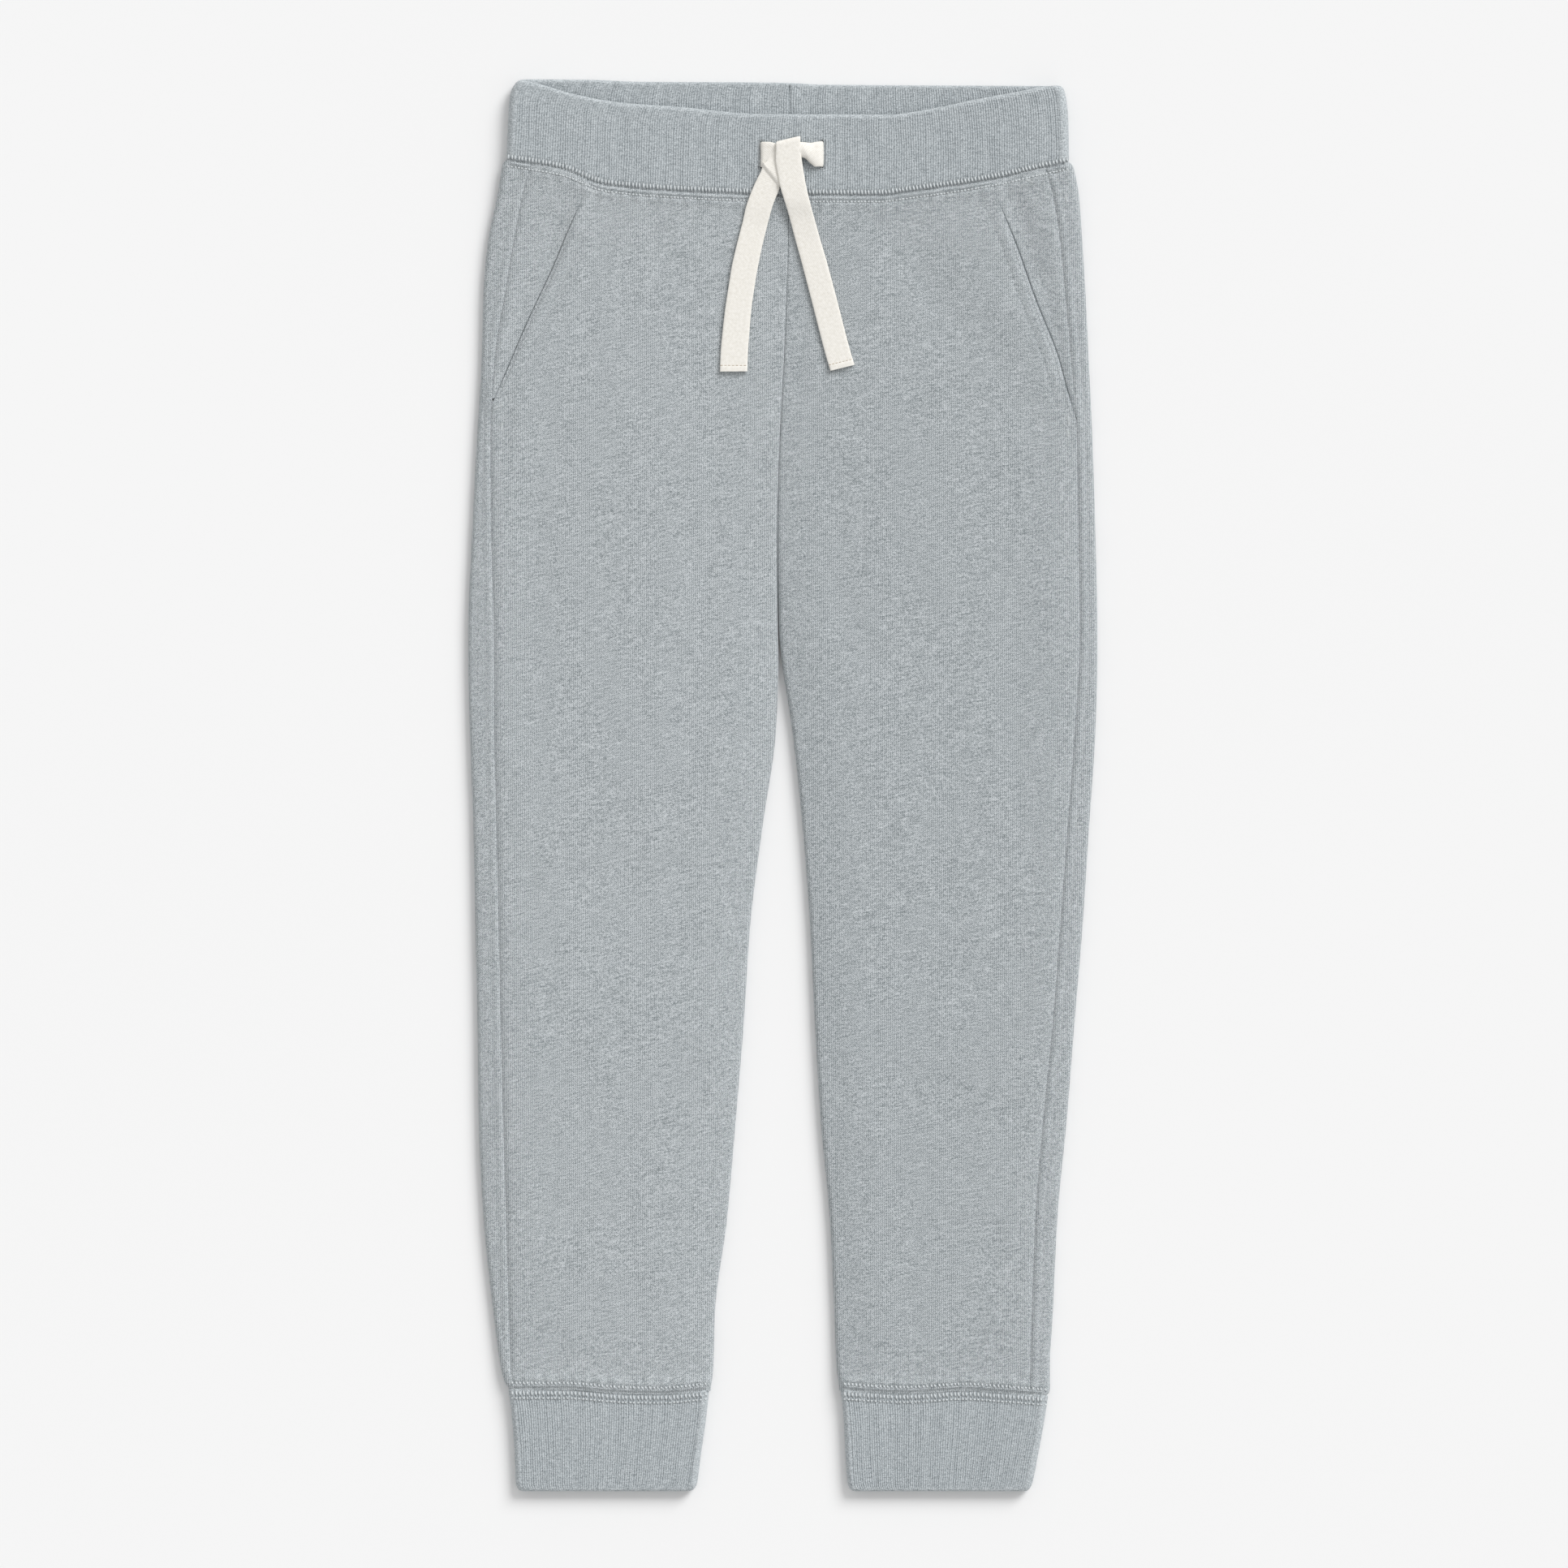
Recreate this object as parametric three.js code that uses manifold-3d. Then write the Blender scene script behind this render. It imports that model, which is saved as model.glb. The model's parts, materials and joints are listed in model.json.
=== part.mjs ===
import * as THREE from "three";
import Module from "manifold-3d";
import { mergeVertices } from "three/addons/utils/BufferGeometryUtils.js";

// Child's jogger sweatpants in brushed fleece, laid flat on their back with the front up.
// Millimetres. +Y runs to the waist, +Z is up, and z = 0 is the surface that they lie on.
// Left and right are as seen from above, with the waist at the top.

// Walls and gaps
const FLEECE_WALL = 1.8;
const FACING_WALL = 1.1;
const BAND_WALL = 2.9;
const CUFF_WALL = 2.2;
const SEAM_GAP = 0.3;
const HALF_GAP = SEAM_GAP / 2;

// Height of the flattened rib tubes over both layers, and the knit ribs on their upper side
const BAND_HEIGHT = 7.0;
const CUFF_HEIGHT = 5.6;
const RIB_PITCH = 1.03;
const RIB_DEPTH = 0.36;
const RIB_EDGE_DROP = 0.5;
const RIB_MARGIN = 0.06;

// Run over which the upper layer climbs from a fold to its full height
const CROWN_RUN = 20;

// Ridge of the seam allowance beside the waist and cuff seams, and the valley along each seam:
// the side seam's valley fades out over its clearance of the two cross seams
const RIDGE = { height: 0.5, distance: 3.6, spread: 2.2 };
const VALLEY = { depth: 0.4, spread: 1.3, clear: 10 };

// Folded edge of the pocket mouths: it starts just below the waist seam and runs on a little
// past the mouth's lower end, where the side seam's valley stops clear of it
const MOUTH_RIDGE = { height: 0.6, spread: 4, start: 6, run: 8, clear: 14 };

// Pocket facing: how far it runs on under the front's mouth edge and ends above the mouth's
// lower end, and the shares of its width and of its length over which it sinks under the front
const FACING = { underlap: 7, above: 1.5, sinkWidth: 0.85, sinkFrom: 0.62, sinkLength: 0.28 };

// Flat woven drawstring and its buttonholes
const TAPE = { thickness: 1.2, shoulder: 0.4, edge: 0.4, clearance: 0.45, bend: 1.3, sunk: 1.4 };
const BUTTONHOLE = { width: 2.0, length: 11.6, depth: 1.9, clearance: 0.5 };

// How far along the legs the tape looks for the highest cloth to rest on
const TAPE_REACH = 4;

// Stations along the legs where the waist and cuff seams lie before their own curves are added
const WAIST_STATION = 262;
const WAIST_FADE = 72;
const CUFF_STATION = -252;
const CUFF_FADE = 27;
const STATIONS = [
  262, 259.5, 256, 248, 236, 220, 204, 188, 172, 158, 148, 120, 92, 68, 54, 40, 10, -30, -75,
  -120, -165, -205, -235, -247, -250.5, -252,
];

// A table's rows as objects, so that each column is read by its name.
function table(names, rows) {
  const columns = names.split(" ");
  return rows.map((row) => Object.fromEntries(columns.map((name, i) => [name, row[i]])));
}

// Left leg: side fold, side seam on the front, and centre seam or inner fold
const LEFT_LEG = table("y outer seam inner", [
  [262, -117.0, -104.6, 2.5],
  [247, -119.4, -108.5, 2.6],
  [227, -123.4, -112.4, 2.3],
  [206, -125.3, -115.9, 1.6],
  [179, -126.0, -120.2, 0.6],
  [145, -128.0, -122.0, -1.2],
  [104, -130.1, -121.7, -2.3],
  [64, -131.7, -120.6, -1.9],
  [53, -131.7, -120.5, -1.7],
  [23, -131.0, -120.4, -2.8],
  [-18, -129.5, -119.5, -8.5],
  [-59, -128.7, -118.6, -13.6],
  [-100, -127.8, -117.7, -16.3],
  [-140, -127.3, -116.7, -19.6],
  [-181, -125.3, -115.5, -23.2],
  [-222, -121.0, -114.3, -28.4],
  [-244, -118.0, -113.6, -29.0],
  [-252, -115.9, -112.4, -30.0],
]);

// Right leg, with the same columns
const RIGHT_LEG = table("y outer seam inner", [
  [262, 121.0, 108.8, 2.5],
  [247, 123.9, 113.1, 2.6],
  [227, 125.4, 116.3, 2.3],
  [206, 126.7, 118.3, 1.6],
  [179, 128.0, 120.7, 0.6],
  [145, 129.6, 123.3, -1.2],
  [104, 130.9, 123.9, -2.3],
  [64, 131.7, 124.5, -1.6],
  [53, 131.7, 124.3, -0.6],
  [23, 130.9, 122.4, 3.9],
  [-18, 128.2, 119.4, 8.3],
  [-59, 125.5, 116.3, 11.4],
  [-100, 122.1, 113.1, 13.4],
  [-140, 118.9, 109.2, 15.8],
  [-181, 115.0, 105.9, 19.6],
  [-222, 113.0, 104.4, 21.6],
  [-244, 111.8, 103.7, 22.5],
  [-252, 111.9, 103.4, 23.6],
]);

// Height of the side folds, further rise of the upper layer, and how far the centre or inner
// edges have rolled towards mid-height: a right angle below the crotch, where they meet
const FOLDS = table("y height crown roll", [
  [262, 6.3, 0.3, 18],
  [247, 5.7, 0.9, 18],
  [227, 5.0, 1.5, 18],
  [206, 4.7, 1.7, 18],
  [145, 4.6, 1.8, 24],
  [104, 4.6, 1.8, 45],
  [64, 4.6, 1.8, 82],
  [54, 4.6, 1.8, 90],
  [-222, 4.6, 1.6, 90],
  [-242, 4.9, 1.0, 90],
  [-252, 5.3, 0.6, 90],
]);

// Slanted pocket mouths, down to where they run into the side seams
const LEFT_MOUTH = table("y x", [
  [251, -80.8],
  [231, -89.9],
  [217, -95.7],
  [193, -106.9],
  [169, -117.1],
  [160, -121.2],
]);
const RIGHT_MOUTH = table("y x", [
  [249, 87.9],
  [227, 97.1],
  [203, 105.6],
  [179, 115.1],
  [166, 118.6],
  [152, 122.9],
]);

// Seam of the waistband and the front, which sags at the centre
const WAIST_SEAM = table("x y", [
  [-118, 261.6],
  [-106, 259.9],
  [-92, 257.3],
  [-74, 250.7],
  [-46, 248.2],
  [-14, 246.8],
  [12, 246.4],
  [40, 246.3],
  [53, 247.8],
  [71, 250.3],
  [90, 253.5],
  [108, 257.6],
  [121, 260.4],
]);

// Top edges of the waistband: the front dips and lets the inside of the back show
const FRONT_TOP = table("x y", [
  [-114, 295.3],
  [-104, 293.6],
  [-88, 289.0],
  [-70, 285.6],
  [-42, 283.4],
  [-10, 280.6],
  [44, 280.3],
  [62, 282.8],
  [80, 286.5],
  [99, 290.0],
  [112, 292.3],
  [118, 292.6],
]);
const BACK_TOP = table("x y", [
  [-114, 295.5],
  [-80, 295.2],
  [-60, 294.4],
  [-20, 294.2],
  [3, 293.9],
  [16, 293.2],
  [118, 292.6],
]);
const BAND_SIDES = table("y left right", [
  [260, -115.7, 119.8],
  [278, -114.9, 119.5],
  [287, -114.4, 118.7],
  [291, -113.4, 117.6],
  [295.5, -110.6, 114.9],
]);

// Seams of the legs and the cuffs, and the sides of the cuffs
const LEFT_CUFF_SEAM = table("x y", [
  [-116, -252.3],
  [-91, -252.3],
  [-67, -254.0],
  [-52, -254.3],
  [-30, -252.6],
]);
const RIGHT_CUFF_SEAM = table("x y", [
  [23, -252.6],
  [52, -254.0],
  [76, -252.7],
  [91, -253.6],
  [112, -255.3],
]);
const LEFT_CUFF = table("y left right", [
  [-252, -115.0, -30.7],
  [-263, -113.5, -31.8],
  [-283, -112.1, -34.6],
  [-291, -111.4, -36.2],
  [-295.5, -109.4, -39.0],
]);
const RIGHT_CUFF = table("y left right", [
  [-252, 24.0, 111.6],
  [-263, 25.3, 110.0],
  [-283, 26.4, 106.4],
  [-291, 27.0, 104.6],
  [-295.5, 29.8, 101.4],
]);
const CUFF_HEM = -295.5;

// Soft ridges and troughs that the cloth keeps as it lies, each along its own heading
const SOFT_FOLDS = table("x y heading length width height", [
  [-62, 105, 94, 90, 26, 0.7],
  [66, 203, -53, 34, 10, -0.8],
  [30, 222, 80, 26, 14, 0.4],
  [-96, 190, 68, 40, 8, 0.5],
  [-104, 140, 85, 46, 12, -0.5],
  [96, 196, -62, 46, 9, 0.5],
  [58, 120, -80, 60, 24, 0.4],
  [-66, -40, 12, 44, 12, -0.4],
  [-70, -92, -8, 40, 14, 0.3],
  [66, -60, 14, 44, 14, 0.35],
  [64, -130, -10, 38, 12, -0.35],
  [-72, -196, 8, 36, 14, 0.3],
]);

// Drawstring ends, by the two edges of the tape from the buttonhole to the free end
const LEFT_TAPE = table("x y x2 y2 lift", [
  [-7.6, 258.7, -4.6, 267.6, 0.1],
  [-7.3, 258.4, -1.4, 264.0, 0.1],
  [-7.6, 257.9, 0.2, 258.6, 0.1],
  [-8.6, 256.3, 0.1, 253.0, 0.1],
  [-10.4, 253.2, -1.3, 248.9, 0.1],
  [-12.7, 249.0, -3.2, 245.3, 0.1],
  [-15.1, 242.4, -4.9, 239.7, 0],
  [-16.8, 235.3, -6.6, 233.2, 0],
  [-18.9, 227.1, -8.6, 225.1, 0],
  [-21.2, 217.3, -10.6, 215.3, 0],
  [-22.7, 208.1, -12.0, 206.8, 0],
  [-24.0, 199.6, -13.1, 198.9, 0],
  [-25.1, 190.4, -13.9, 189.8, 0],
  [-25.9, 181.9, -14.5, 181.6, 0],
  [-26.3, 172.7, -14.8, 172.8, 0],
]);
const RIGHT_TAPE = table("x y x2 y2 lift", [
  [13.3, 258.4, 13.4, 269.0, 0.1],
  [10.0, 258.7, 10.0, 269.6, 0.7],
  [8.2, 259.3, 6.2, 270.6, 1.6],
  [7.6, 259.4, 1.7, 270.0, 2.0],
  [7.4, 259.1, -1.9, 268.4, 1.9],
  [7.5, 258.3, -3.0, 264.8, 1.8],
  [8.0, 256.9, -2.9, 260.6, 1.8],
  [8.7, 254.4, -2.2, 255.6, 1.8],
  [9.7, 249.9, -1.2, 250.2, 1.8],
  [11.4, 243.2, 0.8, 243.6, 1.5],
  [13.2, 236.5, 2.9, 236.8, 0.6],
  [15.5, 228.1, 5.3, 227.9, 0.1],
  [17.9, 219.6, 8.0, 218.6, 0],
  [20.3, 210.8, 10.4, 209.3, 0],
  [22.7, 201.9, 12.8, 199.9, 0],
  [25.1, 192.1, 15.4, 190.1, 0],
  [27.5, 182.9, 17.9, 180.6, 0],
  [29.6, 175.4, 20.2, 173.1, 0],
]);
const LEFT_BUTTONHOLE = { x: -8.9, y: 263.4, turn: 1 };
const RIGHT_BUTTONHOLE = { x: 16.4, y: 263.6, turn: -1 };

// On the underside the same seams run straight from side to side.
const straight = (rows) => [rows[0], rows.at(-1)];
const legOf = (rows, mouth, cuff, inward) => ({
  rows,
  mouth,
  inward,
  upper: { waist: WAIST_SEAM, cuff },
  under: { waist: straight(WAIST_SEAM), cuff: straight(cuff) },
});
const LEFT = legOf(LEFT_LEG, LEFT_MOUTH, LEFT_CUFF_SEAM, 1);
const RIGHT = legOf(RIGHT_LEG, RIGHT_MOUTH, RIGHT_CUFF_SEAM, -1);

const lerp = THREE.MathUtils.lerp;
const radians = THREE.MathUtils.degToRad;
const clamp01 = (t) => Math.min(Math.max(t, 0), 1);
const smooth = (t) => clamp01(t) ** 2 * (3 - 2 * clamp01(t));
const bell = (d, spread) => Math.exp(-((d / spread) ** 2));

// Reads a column at a value of the table's first column, along a smooth curve with no overshoot.
function read(rows, column, at) {
  const [key] = Object.keys(rows[0]);
  const sign = Math.sign(rows[1][key] - rows[0][key]);
  const last = rows.length - 1;
  const clamped = sign * Math.min(Math.max(sign * at, sign * rows[0][key]), sign * rows[last][key]);
  let i = 0;
  while (i < last - 1 && sign * rows[i + 1][key] < sign * clamped) i += 1;
  const step = (j) => rows[j + 1][key] - rows[j][key];
  const slope = (j) => (rows[j + 1][column] - rows[j][column]) / step(j);
  const tangent = (j) => {
    if (j === 0) return slope(0);
    if (j === last) return slope(last - 1);
    const before = slope(j - 1);
    const after = slope(j);
    return before * after <= 0 ? 0 : (2 * before * after) / (before + after);
  };
  const t = (clamped - rows[i][key]) / step(i);
  const [a, b] = [rows[i][column], rows[i + 1][column]];
  const [p, q] = [tangent(i) * step(i), tangent(i + 1) * step(i)];
  return a + t * (p + t * (3 * (b - a) - 2 * p - q + t * (2 * (a - b) + p + q)));
}

const pocketEnd = (leg) => leg.mouth.at(-1).y;

// Height of the soft folds at a place on the front.
function softFolds(x, y) {
  return SOFT_FOLDS.reduce((sum, fold) => {
    const angle = radians(fold.heading);
    const along = (x - fold.x) * Math.cos(angle) + (y - fold.y) * Math.sin(angle);
    const across = (y - fold.y) * Math.cos(angle) - (x - fold.x) * Math.sin(angle);
    return sum + fold.height * bell(along, fold.length) * bell(across, fold.width);
  }, 0);
}

// Outer height of a leg's upper layer, from side fold to centre seam or inner fold.
function frontHeight(leg, x, y) {
  const fold = read(FOLDS, "height", y);
  const closed = read(FOLDS, "roll", y) / 90;
  const climb = (d) => {
    const t = clamp01((d - fold / 2) / CROWN_RUN);
    return t * (2 - t);
  };
  const outer = climb(leg.inward * (x - read(leg.rows, "outer", y)));
  const inner = climb(leg.inward * (read(leg.rows, "inner", y) - x));
  const crown = outer * (1 - closed * (1 - inner));
  const fromWaist = read(WAIST_SEAM, "y", x) - y;
  const fromCuff = y - read(leg.upper.cuff, "y", x);
  const fromSide = x - read(leg.rows, "seam", y);
  const ridgeAt = (d) => bell(d - RIDGE.distance, RIDGE.spread);
  const ridge = RIDGE.height * outer * (ridgeAt(fromWaist) + ridgeAt(fromCuff));
  const crossValley = bell(fromWaist, VALLEY.spread) + bell(fromCuff, VALLEY.spread);
  const away = smooth(fromWaist / VALLEY.clear) * smooth(fromCuff / VALLEY.clear);
  const fromEnd = y - pocketEnd(leg);
  const open = smooth((Math.abs(fromEnd) - MOUTH_RIDGE.run) / MOUTH_RIDGE.clear);
  const valley = VALLEY.depth * (crossValley + bell(fromSide, VALLEY.spread) * away * open);
  const reached = smooth(1 + fromEnd / MOUTH_RIDGE.run) * smooth(fromWaist / MOUTH_RIDGE.start);
  const mouth = MOUTH_RIDGE.height * bell(x - read(leg.mouth, "x", y), MOUTH_RIDGE.spread) * reached;
  return fold + crown * (read(FOLDS, "crown", y) + softFolds(x, y)) + ridge + mouth - valley;
}

// Place along the leg of a station at x, with the curves of a layer's two seams faded in.
function stationY(layer, station, x) {
  const waist = read(layer.waist, "y", x) - HALF_GAP - WAIST_STATION;
  const cuff = read(layer.cuff, "y", x) + HALF_GAP - CUFF_STATION;
  const nearWaist = smooth(1 - (WAIST_STATION - station) / WAIST_FADE);
  const nearCuff = smooth(1 - (station - CUFF_STATION) / CUFF_FADE);
  return station + waist * nearWaist + cuff * nearCuff;
}

// A point whose x depends on its y, while its y depends on its x, found in a few rounds.
const SETTLE_ROUNDS = 4;
function settle(xAt, yAt, station) {
  let y = station;
  for (let i = 0; i < SETTLE_ROUNDS; i += 1) y = yAt(xAt(y));
  return [xAt(y), y];
}

// Outer edge of the front panel: the pocket mouth, and below it the side seam.
function frontEdge(leg, y) {
  if (y > pocketEnd(leg)) return read(leg.mouth, "x", y);
  return read(leg.rows, "seam", y) + leg.inward * HALF_GAP;
}

// Roll of the centre or inner edge, which stops half a seam gap short of mid-height.
function rollAngle(y) {
  const radius = read(FOLDS, "height", y) / 2;
  return Math.min(radians(read(FOLDS, "roll", y)), Math.PI / 2 - HALF_GAP / radius);
}

// Shares of a width where sections have points: across a front panel, from a back panel's side
// seam to its side fold, along its underside, and across and down a pocket facing. Then the
// shares of an edge's roll, and the steps round each fold and across the rib tubes.
const FRONT_PARTS = [0, 0.02, 0.09, 0.18, 0.28, 0.38, 0.48, 0.58, 0.68, 0.78, 0.88, 0.95, 1];
const SIDE_PARTS = [0, 0.25, 0.6];
const UNDERSIDE_PARTS = [0.5, 1];
const FACING_PARTS = [0, 0.12, 0.35, 0.55, 0.75, 1];
const FACING_STEPS = [0, 0.03, 0.08, 0.2, 0.35, 0.5, 0.65, 0.8, 0.9, 1];
const ROLL_PARTS = [1 / 3, 2 / 3, 1];
const FOLD_STEPS = 6;
const UPPER_STEPS = 36;
const UNDER_STEPS = 6;

// Outer and inner points of the front panel at one station, from its outer edge to its inner.
function frontSection(leg, station) {
  const outer = [];
  const inner = [];
  const yAt = (x) => stationY(leg.upper, station, x);
  const innerEdge = (y) => read(leg.rows, "inner", y) - leg.inward * HALF_GAP;
  const radiusAt = (y) => read(FOLDS, "height", y) / 2;
  const rollStart = (y) => innerEdge(y) - leg.inward * radiusAt(y) * Math.sin(rollAngle(y));
  for (const part of FRONT_PARTS) {
    const [x, y] = settle((at) => lerp(frontEdge(leg, at), rollStart(at), part), yAt, station);
    const z = frontHeight(leg, x, y);
    outer.push(new THREE.Vector3(x, y, z));
    inner.push(new THREE.Vector3(x, y, z - FLEECE_WALL));
  }
  const y = outer.at(-1).y;
  const radius = radiusAt(y);
  const raised = outer.at(-1).z - 2 * radius;
  const closed = rollAngle(y) / (Math.PI / 2);
  const x = rollStart(y);
  for (const part of ROLL_PARTS) {
    const angle = rollAngle(y) * part;
    const centre = radius + raised * (1 - part * closed);
    const place = (r) => {
      const along = leg.inward * r * Math.sin(angle);
      return new THREE.Vector3(x + along, y, centre + r * Math.cos(angle));
    };
    outer.push(place(radius));
    inner.push(place(radius - FLEECE_WALL));
  }
  return { outer, inner };
}

// Outer and inner points of the back panel at one station: from the side seam on the front,
// round the side fold, along the underside, and up to the centre or inner edge.
function backSection(leg, station) {
  const outer = [];
  const inner = [];
  const radiusAt = (y) => read(FOLDS, "height", y) / 2;
  const sideFold = (y) => read(leg.rows, "outer", y) + leg.inward * radiusAt(y);
  const seamEdge = (y) => read(leg.rows, "seam", y) - leg.inward * HALF_GAP;
  const yUpper = (x) => stationY(leg.upper, station, x);
  const yBack = (x) => stationY(leg.under, station, x);
  for (const part of SIDE_PARTS) {
    const [x, y] = settle((at) => lerp(seamEdge(at), sideFold(at), part), yUpper, station);
    const z = frontHeight(leg, x, y);
    outer.push(new THREE.Vector3(x, y, z));
    inner.push(new THREE.Vector3(x, y, z - FLEECE_WALL));
  }
  for (let i = 0; i <= FOLD_STEPS; i += 1) {
    const turn = i / FOLD_STEPS;
    const angle = Math.PI * turn;
    const xAt = (at) => sideFold(at) - leg.inward * radiusAt(at) * Math.sin(angle);
    const [x, y] = settle(xAt, (at) => lerp(yUpper(at), yBack(at), turn), station);
    const fold = radiusAt(y);
    const inside = x + leg.inward * FLEECE_WALL * Math.sin(angle);
    outer.push(new THREE.Vector3(x, y, fold + fold * Math.cos(angle)));
    inner.push(new THREE.Vector3(inside, y, fold + (fold - FLEECE_WALL) * Math.cos(angle)));
  }
  const edge = (y) => read(leg.rows, "inner", y) - leg.inward * HALF_GAP;
  const riseStart = (y) => edge(y) - leg.inward * radiusAt(y) * Math.sin(rollAngle(y));
  for (const part of UNDERSIDE_PARTS) {
    const [x, y] = settle((at) => lerp(sideFold(at), riseStart(at), part), yBack, station);
    outer.push(new THREE.Vector3(x, y, 0));
    inner.push(new THREE.Vector3(x, y, FLEECE_WALL));
  }
  const y = outer.at(-1).y;
  const radius = radiusAt(y);
  const start = riseStart(y);
  for (const part of ROLL_PARTS) {
    const angle = rollAngle(y) * part;
    const place = (r) => {
      const along = leg.inward * r * Math.sin(angle);
      return new THREE.Vector3(start + along, y, radius - r * Math.cos(angle));
    };
    outer.push(place(radius));
    inner.push(place(radius - FLEECE_WALL));
  }
  return { outer, inner };
}

// Outer and inner points of a pocket facing, a part of the way down the pocket: level with the
// back panel at the side seam, and sunk under the front's edge along the mouth.
function facingSection(leg, down) {
  const sunk = FLEECE_WALL + SEAM_GAP;
  const low = pocketEnd(leg) + FACING.above;
  const outer = [];
  const inner = [];
  for (const part of FACING_PARTS) {
    const xAt = (y) => {
      const seam = read(leg.rows, "seam", y) + leg.inward * HALF_GAP;
      return lerp(seam, read(leg.mouth, "x", y) + leg.inward * FACING.underlap, part);
    };
    const yAt = (x) => lerp(read(WAIST_SEAM, "y", x) - HALF_GAP, low, down);
    const [x, y] = settle(xAt, yAt, low);
    const seam = read(leg.rows, "seam", y);
    const across = (x - seam) / (read(leg.mouth, "x", y) - seam);
    const atEnd = smooth((down - FACING.sinkFrom) / FACING.sinkLength);
    const z = frontHeight(leg, x, y) - sunk * Math.max(smooth(across / FACING.sinkWidth), atEnd);
    outer.push(new THREE.Vector3(x, y, z));
    inner.push(new THREE.Vector3(x, y, z - FACING_WALL));
  }
  return { outer, inner };
}

// A geometry of the given faces, which turn round if they were wound inside out.
function facingOut(positions, index) {
  const [a, b, c] = [new THREE.Vector3(), new THREE.Vector3(), new THREE.Vector3()];
  let volume = 0;
  for (let i = 0; i < index.length; i += 3) {
    [a, b, c].forEach((corner, k) => corner.fromArray(positions, 3 * index[i + k]));
    volume += a.dot(b.cross(c));
  }
  const faces = volume < 0 ? index.slice().reverse() : index;
  const geometry = new THREE.BufferGeometry();
  geometry.setAttribute("position", new THREE.Float32BufferAttribute(positions, 3));
  geometry.setIndex(faces);
  geometry.computeVertexNormals();
  return geometry;
}

// Closed wall through sections that run from end to end of a panel, with capped ends.
function panel(sections) {
  const rings = sections.map(({ outer, inner }) => [...outer, ...inner.slice().reverse()]);
  const size = rings[0].length;
  const index = [];
  for (let row = 0; row < rings.length - 1; row += 1) {
    for (let i = 0; i < size; i += 1) {
      const a = row * size + i;
      const b = row * size + ((i + 1) % size);
      index.push(a, b, b + size, a, b + size, a + size);
    }
  }
  const end = (rings.length - 1) * size;
  for (let i = 0; i < size / 2 - 1; i += 1) {
    const [a, b, c, d] = [i, i + 1, size - 2 - i, size - 1 - i];
    index.push(a, c, b, a, d, c, end + a, end + b, end + c, end + a, end + c, end + d);
  }
  return facingOut(rings.flat().flatMap((p) => p.toArray()), index);
}

// Closed tube wall through loops of points, each with its own places round the loop: the
// first loop is joined to the next and so on, and the last one to the first.
function ringWall(loops) {
  const positions = loops.flat().flatMap((node) => node.point.toArray());
  const starts = loops.map((_, i) => loops.slice(0, i).reduce((sum, loop) => sum + loop.length, 0));
  const index = [];
  loops.forEach((loop, row) => {
    const other = (row + 1) % loops.length;
    const next = loops[other];
    const place = (list, i) => (i < list.length ? list[i].place : 1);
    let i = 0;
    let j = 0;
    while (i < loop.length || j < next.length) {
      const a = starts[row] + (i % loop.length);
      const b = starts[other] + (j % next.length);
      const behind = place(loop, i + 1) <= place(next, j + 1);
      const stepLoop = j >= next.length || (i < loop.length && behind);
      if (stepLoop) index.push(a, starts[row] + ((i + 1) % loop.length), b);
      else index.push(a, starts[other] + ((j + 1) % next.length), b);
      if (stepLoop) i += 1;
      else j += 1;
    }
  });
  return facingOut(positions, index);
}

// Shares of a flattened tube's loop: upper side, one fold, underside, other fold
const UPPER_END = 0.44;
const UNDER_START = 0.5;
const UNDER_END = 0.94;

// Places round a flattened tube, with one for each crest and hollow of the upper ribs.
function places(upperSteps, underSteps, foldSteps) {
  const spread = (from, to, steps) => Array.from({ length: steps }, (_, i) => lerp(from, to, i / steps));
  return [
    ...spread(0, UPPER_END, upperSteps),
    ...spread(UPPER_END, UNDER_START, foldSteps),
    ...spread(UNDER_START, UNDER_END, underSteps),
    ...spread(UNDER_END, 1, foldSteps),
  ];
}

// Point of a flattened tube. The tube gives its side edges, the y of its upper and under
// layers, its height and its wall; along runs from its seam to its free edge.
function tubePoint(tube, place, along, inside, sunk) {
  const wall = inside ? tube.wall : 0;
  const radius = tube.height / 2;
  const sideY = (x) => tube.upperY(x, along);
  const left = read(tube.sides, "left", sideY(tube.leftX)) + radius;
  const right = read(tube.sides, "right", sideY(tube.rightX)) - radius;
  const lift = tube.relief(along) - sunk;
  if (place < UPPER_END) {
    const x = lerp(left, right, place / UPPER_END);
    return new THREE.Vector3(x, tube.upperY(x, along), tube.height - wall + lift * (inside ? 0 : 1));
  }
  if (place >= UNDER_START && place < UNDER_END) {
    const x = lerp(right, left, (place - UNDER_START) / (UNDER_END - UNDER_START));
    return new THREE.Vector3(x, tube.underY(x, along), wall);
  }
  const onRight = place < UNDER_START;
  const turn = onRight
    ? (place - UPPER_END) / (UNDER_START - UPPER_END)
    : 1 - (place - UNDER_END) / (1 - UNDER_END);
  const angle = Math.PI * turn;
  const centre = onRight ? right : left;
  const side = onRight ? 1 : -1;
  const edgeX = centre + side * radius * Math.sin(angle);
  const x = centre + side * (radius - wall) * Math.sin(angle);
  const y = lerp(tube.upperY(edgeX, along), tube.underY(edgeX, along), turn);
  const upper = inside ? 0 : (lift * (1 + Math.cos(angle))) / 2;
  return new THREE.Vector3(x, y, radius + (radius - wall) * Math.cos(angle) + upper);
}

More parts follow.
